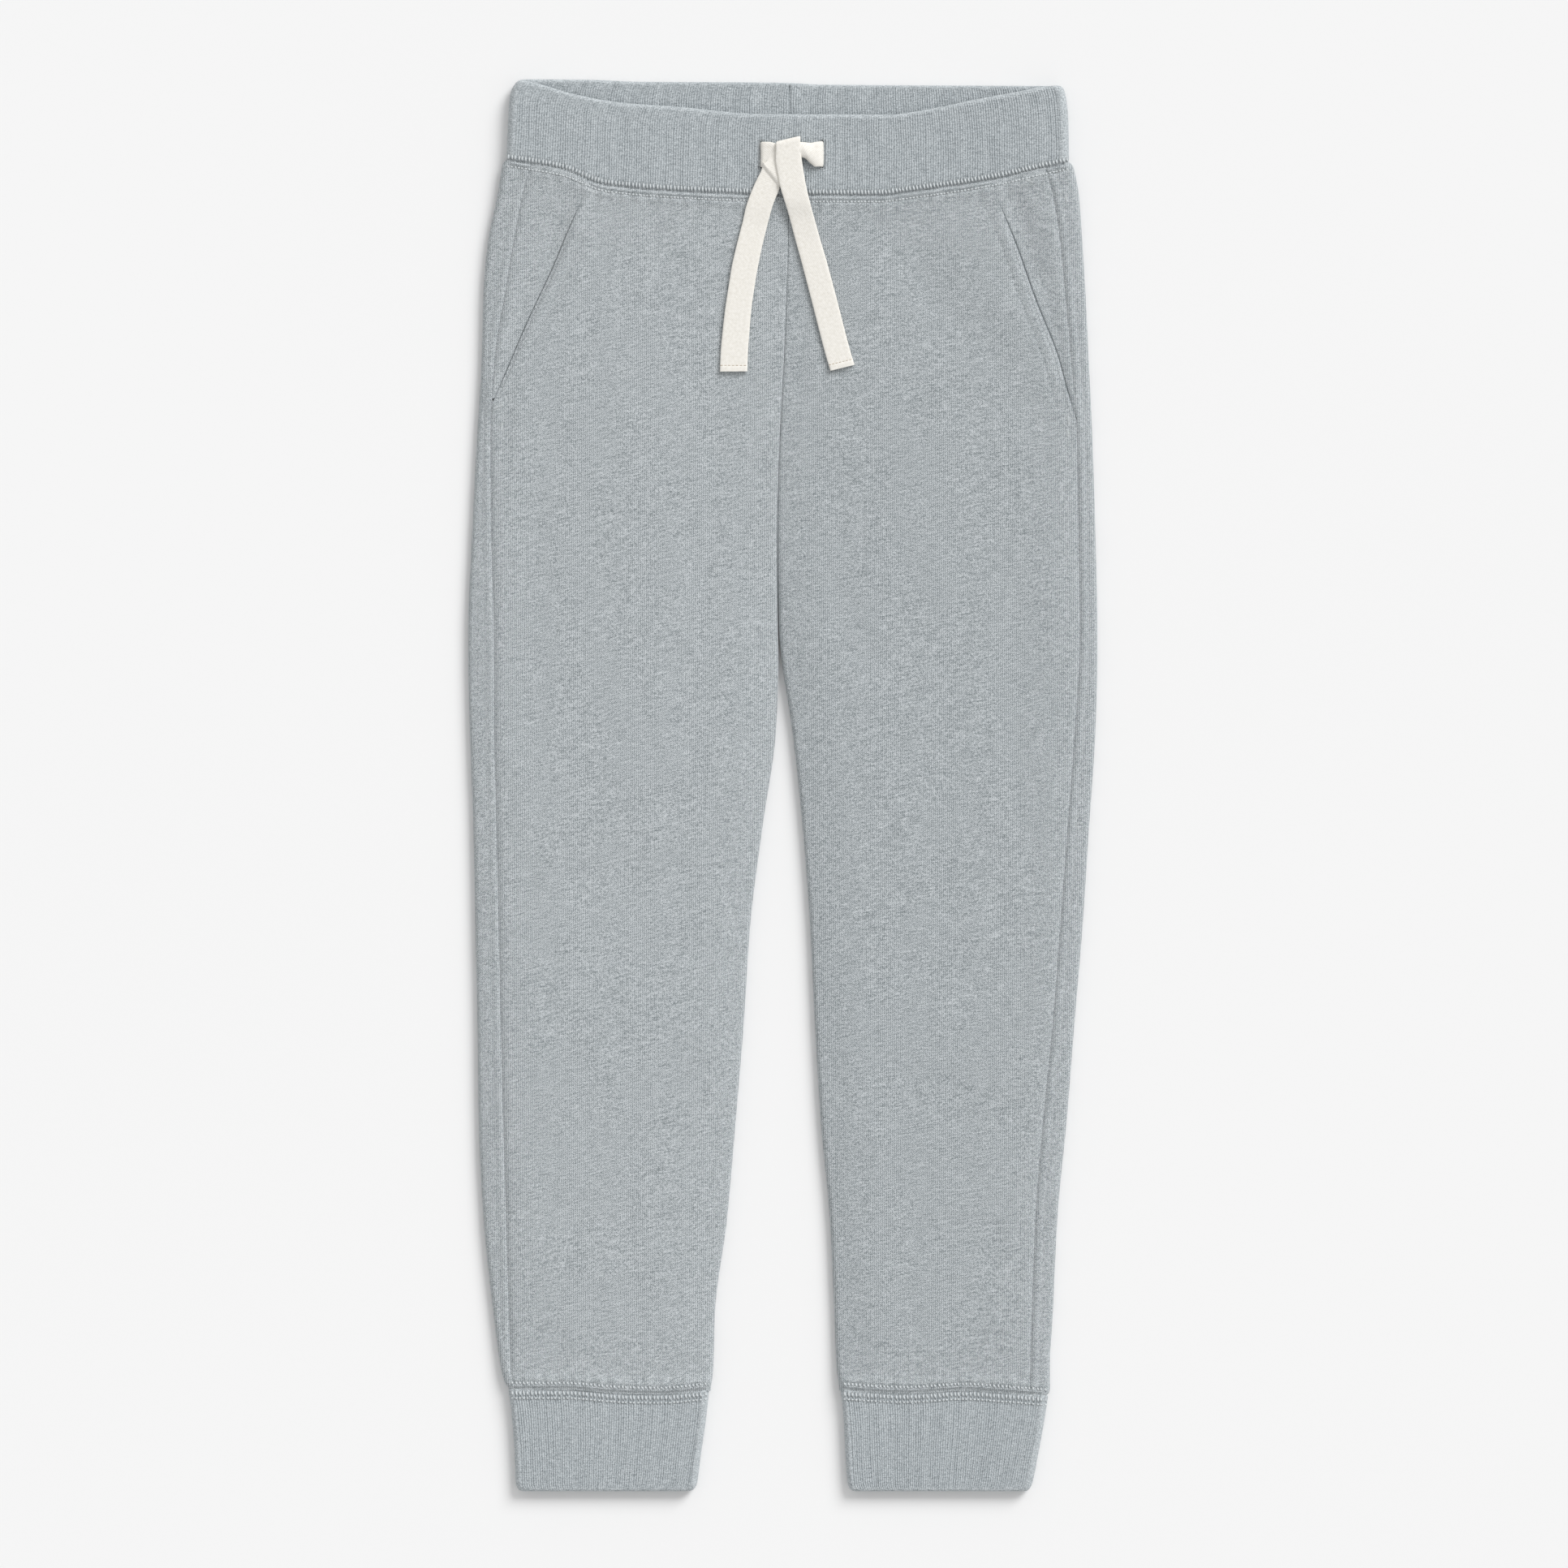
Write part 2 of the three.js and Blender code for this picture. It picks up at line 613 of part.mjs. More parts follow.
// Ribbed wall of a flattened tube: plain at its edges and inside, ribbed over its upper side.
function ribTube(tube) {
  const span = tube.rightX - tube.leftX - tube.height;
  const ribs = Math.round(span / RIB_PITCH);
  const ribbed = places(2 * ribs, UNDER_STEPS, FOLD_STEPS);
  const plain = places(UPPER_STEPS, UNDER_STEPS, FOLD_STEPS);
  const isHollow = (place) => place < UPPER_END && Math.round((place / UPPER_END) * 2 * ribs) % 2 === 0;
  const loop = (list, along, inside) =>
    list.map((place) => {
      const hollow = list === ribbed && isHollow(place) ? RIB_DEPTH : 0;
      return { place, point: tubePoint(tube, place, along, inside, hollow) };
    });
  return ringWall([
    loop(plain, 0, false),
    loop(ribbed, RIB_MARGIN, false),
    loop(ribbed, 1 - RIB_MARGIN, false),
    loop(plain, 1, false),
    loop(plain, 1, true),
    loop(plain, 0, true),
  ]);
}

// Edges of the rib tubes round over a little, at the seam and at the free edge.
const edgeRelief = (along) => -RIB_EDGE_DROP * (1 - smooth(Math.min(along, 1 - along) / RIB_MARGIN));

const bandY = (seam, top) => (x, along) =>
  lerp(read(seam, "y", x) + HALF_GAP, read(top, "y", x), along);
const BAND = {
  sides: BAND_SIDES,
  leftX: BAND_SIDES[0].left,
  rightX: BAND_SIDES[0].right,
  height: BAND_HEIGHT,
  wall: BAND_WALL,
  upperY: bandY(WAIST_SEAM, FRONT_TOP),
  underY: bandY(straight(WAIST_SEAM), BACK_TOP),
  relief: edgeRelief,
};

function cuffTube(sides, seam) {
  const yOn = (rows) => (x, along) => lerp(read(rows, "y", x) - HALF_GAP, CUFF_HEM, along);
  const { left, right } = sides[0];
  const size = { leftX: left, rightX: right, height: CUFF_HEIGHT, wall: CUFF_WALL };
  return { sides, ...size, upperY: yOn(seam), underY: yOn(straight(seam)), relief: edgeRelief };
}

const wasm = await Module();
wasm.setup();
const MERGE_DISTANCE = 1e-4;

function toSolid(geometry) {
  const bare = geometry.clone();
  bare.deleteAttribute("normal");
  bare.deleteAttribute("uv");
  const merged = mergeVertices(bare, MERGE_DISTANCE);
  const vertProperties = new Float32Array(merged.attributes.position.array);
  const triVerts = new Uint32Array(merged.index.array);
  return new wasm.Manifold(new wasm.Mesh({ numProp: 3, vertProperties, triVerts }));
}

function fromSolid(solid) {
  const { vertProperties, triVerts } = solid.getMesh();
  const geometry = new THREE.BufferGeometry();
  geometry.setAttribute("position", new THREE.BufferAttribute(vertProperties, 3));
  geometry.setIndex(new THREE.BufferAttribute(triVerts, 1));
  geometry.computeVertexNormals();
  return geometry;
}

// The waistband with its buttonholes sunk into the outer layer of the front.
function waistband() {
  const cutter = ({ x, y }) => {
    const box = new THREE.BoxGeometry(BUTTONHOLE.width, BUTTONHOLE.length, 2 * BUTTONHOLE.depth);
    return toSolid(box.translate(x, y, BAND_HEIGHT));
  };
  const band = toSolid(ribTube(BAND));
  return fromSolid(band.subtract(cutter(LEFT_BUTTONHOLE)).subtract(cutter(RIGHT_BUTTONHOLE)));
}

// Highest cloth near a place on the front, which the tape rests on.
function restingHeight(x, y) {
  const leg = x < read(LEFT_LEG, "inner", y) ? LEFT : RIGHT;
  const at = (v) => (v > read(WAIST_SEAM, "y", x) ? BAND_HEIGHT : frontHeight(leg, x, v));
  return Math.max(at(y - TAPE_REACH), at(y), at(y + TAPE_REACH));
}

// One free end of the drawstring: up out of its buttonhole, over the band and down the front.
function tape(rows, hole) {
  const half = TAPE.thickness / 2;
  const low = BAND_HEIGHT - TAPE.sunk;
  const level = BAND_HEIGHT + TAPE.clearance + half;
  const across = new THREE.Vector3(0, BUTTONHOLE.length - 2 * BUTTONHOLE.clearance, 0);
  const bend = [0, Math.PI / 4].map((angle) => {
    const x = hole.x + hole.turn * TAPE.bend * (1 - Math.cos(angle));
    const z = level - TAPE.bend * (1 - Math.sin(angle));
    return { centre: new THREE.Vector3(x, hole.y, z), across };
  });
  const start = { centre: new THREE.Vector3(hole.x, hole.y, low), across };
  const laid = rows.map((row) => {
    const height = (x, y) => restingHeight(x, y) + TAPE.clearance + half + row.lift;
    const near = new THREE.Vector3(row.x, row.y, height(row.x, row.y));
    const far = new THREE.Vector3(row.x2, row.y2, height(row.x2, row.y2));
    return { centre: near.clone().add(far).divideScalar(2), across: far.sub(near) };
  });
  const steps = [start, ...bend, ...laid];
  const sections = steps.map(({ centre, across: width }, i) => {
    const after = steps[Math.min(i + 1, steps.length - 1)].centre;
    const before = steps[Math.max(i - 1, 0)].centre;
    const normal = width.clone().cross(after.clone().sub(before)).normalize().multiplyScalar(half);
    const side = width.clone().multiplyScalar(0.5);
    const shoulder = side.clone().setLength(side.length() - TAPE.shoulder);
    const corner = (w, s, n) => centre.clone().addScaledVector(w, s).addScaledVector(normal, n);
    const face = (n) => [
      corner(side, -1, n * TAPE.edge),
      corner(shoulder, -1, n),
      corner(shoulder, 1, n),
      corner(side, 1, n * TAPE.edge),
    ];
    return { outer: face(1), inner: face(-1) };
  });
  return panel(sections);
}

const FLEECE = { color: "#aaafb2", roughness: 0.95, metalness: 0 };
const RIB = { color: "#a8adb0", roughness: 0.92, metalness: 0 };
const COTTON_TAPE = { color: "#efece5", roughness: 0.85, metalness: 0 };

const trousers = new THREE.Group();
function add(name, geometry, finish) {
  const mesh = new THREE.Mesh(geometry, new THREE.MeshStandardMaterial(finish));
  mesh.name = name;
  trousers.add(mesh);
}

add("waistband", waistband(), RIB);
for (const [side, leg] of Object.entries({ left: LEFT, right: RIGHT })) {
  add(`front_${side}`, panel(STATIONS.map((station) => frontSection(leg, station))), FLEECE);
  add(`back_${side}`, panel(STATIONS.map((station) => backSection(leg, station))), FLEECE);
  add(`pocket_facing_${side}`, panel(FACING_STEPS.map((down) => facingSection(leg, down))), FLEECE);
}
add("cuff_left", ribTube(cuffTube(LEFT_CUFF, LEFT_CUFF_SEAM)), RIB);
add("cuff_right", ribTube(cuffTube(RIGHT_CUFF, RIGHT_CUFF_SEAM)), RIB);
add("drawstring_left", tape(LEFT_TAPE, LEFT_BUTTONHOLE), COTTON_TAPE);
add("drawstring_right", tape(RIGHT_TAPE, RIGHT_BUTTONHOLE), COTTON_TAPE);

export default trousers;
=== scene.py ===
"""Child's jogger sweatpants in brushed fleece, laid flat on their back with the front up.

Metres, +Y to the waist, +Z up. Left and right are as seen from above with the waist at the top.
"""

import json
import math

import bpy
import numpy as np
from bpy.props import FloatProperty, FloatVectorProperty, PointerProperty
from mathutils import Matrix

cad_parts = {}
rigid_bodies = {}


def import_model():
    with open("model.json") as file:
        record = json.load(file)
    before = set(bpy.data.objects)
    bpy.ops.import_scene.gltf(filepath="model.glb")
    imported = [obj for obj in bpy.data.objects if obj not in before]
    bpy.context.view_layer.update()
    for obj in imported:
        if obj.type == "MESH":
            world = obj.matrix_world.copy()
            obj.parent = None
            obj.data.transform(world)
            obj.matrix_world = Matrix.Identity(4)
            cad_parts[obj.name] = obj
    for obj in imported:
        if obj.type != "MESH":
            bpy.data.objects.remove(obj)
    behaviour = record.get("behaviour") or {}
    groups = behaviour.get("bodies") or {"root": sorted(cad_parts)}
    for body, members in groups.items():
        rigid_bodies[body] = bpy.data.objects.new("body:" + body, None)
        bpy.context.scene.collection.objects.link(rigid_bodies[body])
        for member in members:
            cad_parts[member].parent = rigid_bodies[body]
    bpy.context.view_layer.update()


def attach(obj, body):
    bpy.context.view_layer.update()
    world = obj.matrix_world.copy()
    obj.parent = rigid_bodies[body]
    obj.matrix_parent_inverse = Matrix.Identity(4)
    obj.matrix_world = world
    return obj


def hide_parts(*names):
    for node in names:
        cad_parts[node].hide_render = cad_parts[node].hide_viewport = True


bl_info = {
    "name": "Fleece Jogger Sweatpants",
    "version": (1, 0, 0),
    "blender": (4, 5, 0),
    "location": "3D View > Sidebar > Joggers",
    "description": "Builds a child's fleece jogger sweatpants, laid flat, with its studio stage",
    "category": "Add Mesh",
}

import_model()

MM = 0.001


def mm(**sizes):
    """Named sizes in millimetres, as metres."""
    return {name: size * MM for name, size in sizes.items()}


# Walls of the cloth, and half the gap along the centre seam
FLEECE_WALL = 1.8 * MM
FACING_WALL = 1.1 * MM
BAND_WALL = 2.9 * MM
CUFF_WALL = 2.2 * MM
CENTRE_HALF_GAP = 0.05 * MM

# The legs' ends run in under the rounded edges of the rib by this much
UNDER_RIM = 0.7 * MM

# Flattened rib tubes, and the run over which the upper layer climbs from a side fold
BAND_HEIGHT = 7.0 * MM
CUFF_HEIGHT = 5.6 * MM
RIB_EDGE_DROP = 0.25 * MM
RIB_MARGIN = 0.06
CROWN_RUN = 20 * MM

# Ridges of the seam allowances, valleys along the seams and the folded edges of the pockets
RIDGE = mm(height=0.5, distance=3.6, spread=2.2)
VALLEY = mm(depth=0.4, spread=1.3, clear=10)
MOUTH_RIDGE = mm(height=0.6, spread=4, start=6, run=8, clear=14)

# Pocket facings: their reach under the fronts, where they start above the mouth's end, and the
# share of their width over which they sink
FACING = mm(underlap=7, above=1.5)
FACING_SINK = 0.9

# Drawstring tape and its buttonholes, and how far to both sides the tape feels the cloth
TAPE = mm(thickness=1.2, clearance=0.45, bend=1.3, sunk=1.4)
BUTTONHOLE = mm(width=1.5, length=11.6, depth=1.9, clearance=0.5, side_slope=0.45, end_slope=0.8)
TAPE_REACH = 4 * MM

# Rounding of the legs' corners at the waist and at the cuffs
CORNER = mm(inset=1.6, run=3.2)

# Stations along the legs where the waist and cuff seams lie before their own curves are added
WAIST_STATION = 262 * MM
WAIST_FADE = 72 * MM
CUFF_STATION = -252 * MM
CUFF_FADE = 27 * MM
CUFF_HEM = -295.5 * MM

ANGLE_COLUMNS = ("roll", "heading", "curl")


def table(names, rows, ordered=True):
    """Rows in millimetres as named columns in metres, with angles left in degrees."""
    rows = sorted(rows) if ordered else rows
    columns = zip(names.split(), zip(*rows))
    return {
        name: np.array(values) * (1 if name in ANGLE_COLUMNS else MM) for name, values in columns
    }


# Left leg: side fold, side seam on the front, and centre seam or inner fold
LEFT_LEG = table("y outer seam inner", [
    [262, -117.0, -104.6, 2.5],
    [247, -119.4, -108.5, 2.6],
    [227, -123.4, -112.4, 2.3],
    [206, -125.3, -115.9, 1.6],
    [179, -126.0, -120.2, 0.6],
    [145, -128.0, -122.0, -1.2],
    [104, -130.1, -121.7, -2.3],
    [64, -131.7, -120.6, -1.9],
    [53, -131.7, -120.5, -1.7],
    [23, -131.0, -120.4, -2.8],
    [-18, -129.5, -119.5, -8.5],
    [-59, -128.7, -118.6, -13.6],
    [-100, -127.8, -117.7, -16.3],
    [-140, -127.3, -116.7, -19.6],
    [-181, -125.3, -115.5, -23.2],
    [-222, -121.0, -114.3, -28.4],
    [-244, -118.0, -113.6, -29.0],
    [-252, -115.9, -112.4, -30.0],
])

# Right leg, with the same columns
RIGHT_LEG = table("y outer seam inner", [
    [262, 121.0, 108.8, 2.5],
    [247, 123.9, 113.1, 2.6],
    [227, 125.4, 116.3, 2.3],
    [206, 126.7, 118.3, 1.6],
    [179, 128.0, 120.7, 0.6],
    [145, 129.6, 123.3, -1.2],
    [104, 130.9, 123.9, -2.3],
    [64, 131.7, 124.5, -1.6],
    [53, 131.7, 124.3, -0.6],
    [23, 130.9, 122.4, 3.9],
    [-18, 128.2, 119.4, 8.3],
    [-59, 125.5, 116.3, 11.4],
    [-100, 122.1, 113.1, 13.4],
    [-140, 118.9, 109.2, 15.8],
    [-181, 115.0, 105.9, 19.6],
    [-222, 113.0, 104.4, 21.6],
    [-244, 111.8, 103.7, 22.5],
    [-252, 111.9, 103.4, 23.6],
])

# Height of the side folds, further rise of the upper layer, and how far the centre or inner
# edges have rolled towards mid-height
FOLDS = table("y height crown roll", [
    [262, 6.3, 0.3, 18],
    [247, 5.7, 0.9, 18],
    [227, 5.0, 1.5, 18],
    [206, 4.7, 1.7, 18],
    [145, 4.6, 1.8, 24],
    [104, 4.6, 1.8, 45],
    [64, 4.6, 1.8, 82],
    [54, 4.6, 1.8, 90],
    [-222, 4.6, 1.6, 90],
    [-242, 4.9, 1.0, 90],
    [-252, 5.3, 0.6, 90],
])

# Slanted pocket mouths, down to where they run into the side seams
LEFT_MOUTH = table("y x", [
    [251, -80.8], [231, -89.9], [217, -95.7], [193, -106.9], [169, -117.1],
    [160, -121.2],
])
RIGHT_MOUTH = table("y x", [
    [249, 87.9], [227, 97.1], [203, 105.6], [179, 115.1], [166, 118.6],
    [152, 122.9],
])

# Seam of the waistband and the front, which sags at the centre
WAIST_SEAM = table("x y", [
    [-118, 261.6], [-106, 259.9], [-92, 257.3], [-74, 250.7], [-46, 248.2],
    [-14, 246.8], [12, 246.4], [40, 246.3], [53, 247.8], [71, 250.3],
    [90, 253.5], [108, 257.6], [121, 260.4],
])

# Top edges of the waistband: the front dips and lets the inside of the back show
FRONT_TOP = table("x y", [
    [-114, 295.3], [-104, 293.6], [-88, 289.0], [-70, 285.6], [-42, 283.4],
    [-10, 280.6], [44, 280.3], [62, 282.8], [80, 286.5], [99, 290.0],
    [112, 292.3], [118, 292.6],
])
BACK_TOP = table("x y", [
    [-114, 295.5], [-80, 295.2], [-60, 294.4], [-20, 294.2], [3, 293.9],
    [16, 293.2], [118, 292.6],
])
BAND_SIDES = table("y left right", [
    [260, -115.7, 119.8],
    [278, -114.9, 119.5],
    [287, -114.4, 118.7],
    [291, -113.4, 117.6],
    [295.5, -110.6, 114.9],
])

# Seams of the legs and the cuffs, and the sides of the cuffs
LEFT_CUFF_SEAM = table("x y", [
    [-116, -252.3], [-91, -252.3], [-67, -254.0], [-52, -254.3], [-30, -252.6],
])
RIGHT_CUFF_SEAM = table("x y", [
    [23, -252.6], [52, -254.0], [76, -252.7], [91, -253.6], [112, -255.3],
])
LEFT_CUFF = table("y left right", [
    [-252, -115.0, -30.7],
    [-263, -113.5, -31.8],
    [-283, -112.1, -34.6],
    [-292.5, -111.7, -35.9],
    [-295.5, -110.5, -37.6],
])
RIGHT_CUFF = table("y left right", [
    [-252, 24.0, 111.6],
    [-263, 25.3, 110.0],
    [-283, 26.4, 106.4],
    [-292.5, 27.2, 104.4],
    [-295.5, 28.6, 102.8],
])

# Soft ridges and troughs that the cloth keeps as it lies, each along its own heading
SOFT_FOLDS = table("x y heading length width height", [
    [-62, 105, 94, 90, 26, 0.7],
    [66, 203, -53, 34, 10, -0.8],
    [30, 222, 80, 26, 14, 0.4],
    [-96, 190, 68, 40, 8, 0.5],
    [-104, 140, 85, 46, 12, -0.5],
    [96, 196, -62, 46, 9, 0.5],
    [58, 120, -80, 60, 24, 0.4],
    [-66, -40, 12, 44, 12, -0.4],
    [-70, -92, -8, 40, 14, 0.3],
    [66, -60, 14, 44, 14, 0.35],
    [64, -130, -10, 38, 12, -0.35],
    [-72, -196, 8, 36, 14, 0.3],
])

# Drawstring ends, by the two edges of the tape from the buttonhole to the free end, with the
# angle over which its width curls
LEFT_TAPE = table("x y x2 y2 lift curl", [
    [-7.3, 258.6, -5.2, 268.4, 0.2, 20],
    [-7.6, 259.2, -2.2, 267.0, 0.4, 12],
    [-7.9, 259.7, 0.3, 261.6, 0.7, 6],
    [-8.1, 259.7, -0.3, 254.0, 0.9, 0],
    [-8.1, 259.4, -1.0, 250.8, 0.9, 0],
    [-8.4, 258.6, -1.2, 249.9, 0.15, 0],
    [-9.2, 256.2, -1.3, 249.3, 0.1, 0],
    [-10.6, 253.0, -1.9, 248.0, 0.1, 0],
    [-12.7, 248.6, -3.2, 244.9, 0.1, 0],
    [-15.1, 242.4, -4.9, 239.7, 0, 0],
    [-16.8, 235.3, -6.6, 233.2, 0, 0],
    [-18.9, 227.1, -8.6, 225.1, 0, 0],
    [-21.2, 217.3, -10.6, 215.3, 0, 0],
    [-22.7, 208.1, -12.0, 206.8, 0, 0],
    [-24.0, 199.6, -13.1, 198.9, 0, 0],
    [-25.1, 190.4, -13.9, 189.8, 0, 0],
    [-25.9, 181.9, -14.5, 181.6, 0, 0],
    [-26.3, 172.7, -14.8, 172.8, 0, 0],
], ordered=False)
RIGHT_TAPE = table("x y x2 y2 lift curl", [
    [14.8, 258.2, 14.8, 268.8, 0.2, 50],
    [13.2, 257.9, 13.0, 268.8, 0.3, 90],
    [11.2, 259.4, 11.0, 268.7, 0.4, 150],
    [9.4, 261.6, 9.4, 268.4, 0.4, 210],
    [7.0, 262.6, 7.2, 268.0, 0.3, 220],
    [3.0, 263.2, 5.4, 267.4, 0.2, 120],
    [-0.9, 264.6, 5.6, 267.2, 0.2, 20],
    [-2.2, 266.6, 6.6, 268.6, 0.5, 0],
    [-2.5, 268.2, 7.2, 270.5, 1.1, 0],
    [-2.6, 267.9, 7.1, 270.2, 1.8, 0],
    [-2.8, 265.0, 7.3, 266.8, 2.0, 0],
    [-3.0, 261.0, 7.8, 261.9, 1.9, 0],
    [-2.2, 255.6, 8.8, 255.4, 1.8, 0],
    [-1.2, 250.2, 9.8, 249.9, 1.8, 0],
    [0.8, 243.6, 11.4, 243.2, 1.5, 0],
    [2.9, 236.8, 13.2, 236.5, 0.6, 0],
    [5.3, 227.9, 15.5, 228.1, 0.1, 0],
    [8.0, 218.6, 17.9, 219.6, 0, 0],
    [10.4, 209.3, 20.3, 210.8, 0, 0],
    [12.8, 199.9, 22.7, 201.9, 0, 0],
    [15.4, 190.1, 25.1, 192.1, 0, 0],
    [17.9, 180.6, 27.5, 182.9, 0, 0],
    [20.2, 173.1, 29.6, 175.4, 0, 0],
], ordered=False)
LEFT_BUTTONHOLE = {**mm(x=-8.9, y=263.4), "turn": 1}
RIGHT_BUTTONHOLE = {**mm(x=16.4, y=263.6), "turn": -1}


def straight(rows):
    """The first and last rows alone, as the seams run on the underside."""
    return {name: values[[0, -1]] for name, values in rows.items()}


def leg_of(rows, mouth, cuff, inward):
    """One leg: its edges, pocket mouth, and the seams at both its ends on both layers."""
    return {
        "rows": rows,
        "mouth": mouth,
        "inward": inward,
        "upper": {"waist": WAIST_SEAM, "cuff": cuff},
        "under": {"waist": straight(WAIST_SEAM), "cuff": straight(cuff)},
    }


LEFT = leg_of(LEFT_LEG, LEFT_MOUTH, LEFT_CUFF_SEAM, 1)
RIGHT = leg_of(RIGHT_LEG, RIGHT_MOUTH, RIGHT_CUFF_SEAM, -1)
LEGS = {"left": LEFT, "right": RIGHT}


def lerp(a, b, t):
    """Value a share of the way from a to b."""
    return a + (b - a) * t


def smooth(t):
    """Smooth step from 0 to 1."""
    t = np.clip(t, 0, 1)
    return t * t * (3 - 2 * t)


def bell(distance, spread):
    """Bell curve of height 1."""
    return np.exp(-((distance / spread) ** 2))


def hermite(keys, values, slopes, at):
    """Values at places between the keys, along a curve with a slope at each key."""
    steps = np.diff(keys)
    i = np.clip(np.searchsorted(keys, at, side="right") - 1, 0, len(keys) - 2)
    columns = (..., *[None] * (values.ndim - 1))
    step = steps[i][columns]
    t = ((at - keys[i]) / steps[i])[columns]
    a, b = values[i], values[i + 1]
    p, q = slopes[i] * step, slopes[i + 1] * step
    return a + t * (p + t * (3 * (b - a) - 2 * p - q + t * (2 * (a - b) + p + q)))


def read(rows, column, at):
    """Column at a value of the first column, along a smooth curve with no overshoot."""
    keys = rows[next(iter(rows))]
    slopes = np.diff(rows[column]) / np.diff(keys)
    before, after = slopes[:-1], slopes[1:]
    same_way = before * after > 0
    tangents = np.concatenate([
        slopes[:1],
        np.where(same_way, 2 * before * after / np.where(same_way, before + after, 1), 0),
        slopes[-1:],
    ])
    return hermite(keys, rows[column], tangents, np.clip(at, keys[0], keys[-1]))


def line(leg, name, y):
    """Place across of a leg's outer, seam or inner line."""
    return read(leg["rows"], name, y)


def below_waist(x, y):
    """Distance down from the waist seam."""
    return read(WAIST_SEAM, "y", x) - y


def above_cuff(leg, x, y):
    """Distance up from the cuff seam."""
    return y - read(leg["upper"]["cuff"], "y", x)


def inside_mouth(leg, x, y):
    """Distance in from the pocket mouth's edge, below zero out on the facing."""
    return leg["inward"] * (x - read(leg["mouth"], "x", y))


def pocket_end(leg):
    """Where the pocket mouth runs into the side seam."""
    return leg["mouth"]["y"][0]


def folds_at(folds, x, y):
    """Height of a table of soft folds at a place on the front."""
    total = np.zeros(np.broadcast(x, y).shape)
    for at_x, at_y, heading, length, width, height in zip(*folds.values()):
        angle = math.radians(heading)
        along = (x - at_x) * math.cos(angle) + (y - at_y) * math.sin(angle)
        across = (y - at_y) * math.cos(angle) - (x - at_x) * math.sin(angle)
        total = total + height * bell(along, length) * bell(across, width)
    return total


def waviness(x, y, waves, seed):
    """Slow uneven swell between about -1 and 1, as a sum of a few slanted waves."""
    rng = np.random.default_rng(seed)
    total = 0
    for wave in waves:
        heading = rng.uniform(0, math.pi)
        phase = rng.uniform(0, 2 * math.pi)
        along = x * math.cos(heading) + y * math.sin(heading)
        total = total + np.sin(2 * math.pi * along / wave + phase)
    return total / len(waves)


def front_height(leg, x, y):
    """Outer height of a leg's upper layer, from side fold to centre seam or inner fold."""
    inward = leg["inward"]
    fold = read(FOLDS, "height", y)
    closed = read(FOLDS, "roll", y) / 90

    def climb(distance):
        t = np.clip((distance - fold / 2) / CROWN_RUN, 0, 1)
        return t * (2 - t)

    outer = climb(inward * (x - line(leg, "outer", y)))
    inner = climb(inward * (line(leg, "inner", y) - x))
    crown = outer * (1 - closed * (1 - inner))
    cross_seams = (below_waist(x, y), above_cuff(leg, x, y))
    ridge = RIDGE["height"] * outer * sum(
        bell(distance - RIDGE["distance"], RIDGE["spread"]) for distance in cross_seams
    )
    from_end = y - pocket_end(leg)
    opened = smooth((np.abs(from_end) - MOUTH_RIDGE["run"]) / MOUTH_RIDGE["clear"])
    for distance in cross_seams:
        opened = opened * smooth(distance / VALLEY["clear"])
    valley = VALLEY["depth"] * (
        sum(bell(distance, VALLEY["spread"]) for distance in cross_seams)
        + bell(x - line(leg, "seam", y), VALLEY["spread"]) * opened
    )
    reached = smooth(1 + from_end / MOUTH_RIDGE["run"])
    reached = reached * smooth(cross_seams[0] / MOUTH_RIDGE["start"])
    mouth = MOUTH_RIDGE["height"] * bell(inside_mouth(leg, x, y), MOUTH_RIDGE["spread"]) * reached
    soft = read(FOLDS, "crown", y) + folds_at(SOFT_FOLDS, x, y)
    return fold + crown * soft + ridge + mouth - valley


def station_y(layer, station, x):
    """Place along the leg of a station at x, with the curves of a layer's seams faded in."""
    waist = read(layer["waist"], "y", x) + UNDER_RIM - WAIST_STATION
    cuff = read(layer["cuff"], "y", x) - UNDER_RIM - CUFF_STATION
    near_waist = smooth(1 - (WAIST_STATION - station) / WAIST_FADE)
    near_cuff = smooth(1 - (station - CUFF_STATION) / CUFF_FADE)
    return station + waist * near_waist + cuff * near_cuff


# Rounds in which a place across and a place along settle on each other
SETTLE_ROUNDS = 6


def settle(x_at, y_at, station):
    """Points whose x depends on their y, while their y depends on their x."""
    y = station
    for _ in range(SETTLE_ROUNDS):
        y = y_at(x_at(y))
    return x_at(y), y


def front_edge(leg, y):
    """Outer edge of the front panel: the pocket mouth, and below it the side seam."""
    return np.where(y > pocket_end(leg), read(leg["mouth"], "x", y), line(leg, "seam", y))


def fold_radius(y):
    """Half the height of the folds."""
    return read(FOLDS, "height", y) / 2


def outer_edge(leg, y):
    """Side fold's outermost line, drawn in round the corners at both ends of the leg."""
    x = line(leg, "outer", y)
    distance = np.minimum(below_waist(x, y), above_cuff(leg, x, y))
    near = 1 - np.clip(distance / CORNER["run"], 0, 1)
    return x + leg["inward"] * CORNER["inset"] * (1 - np.sqrt(1 - near**2))


def fold_drop(from_edge, radius):
    """How far a fold of a radius has turned down, at a distance in from its outermost line."""
    return radius - np.sqrt(radius**2 - (radius - np.clip(from_edge, 0, radius)) ** 2)


def roll_angle(y):
    """Roll of the centre or inner edge, which stops just short of mid-height."""
    closed = math.pi / 2 - CENTRE_HALF_GAP / fold_radius(y)
    return np.minimum(np.radians(read(FOLDS, "roll", y)), closed)


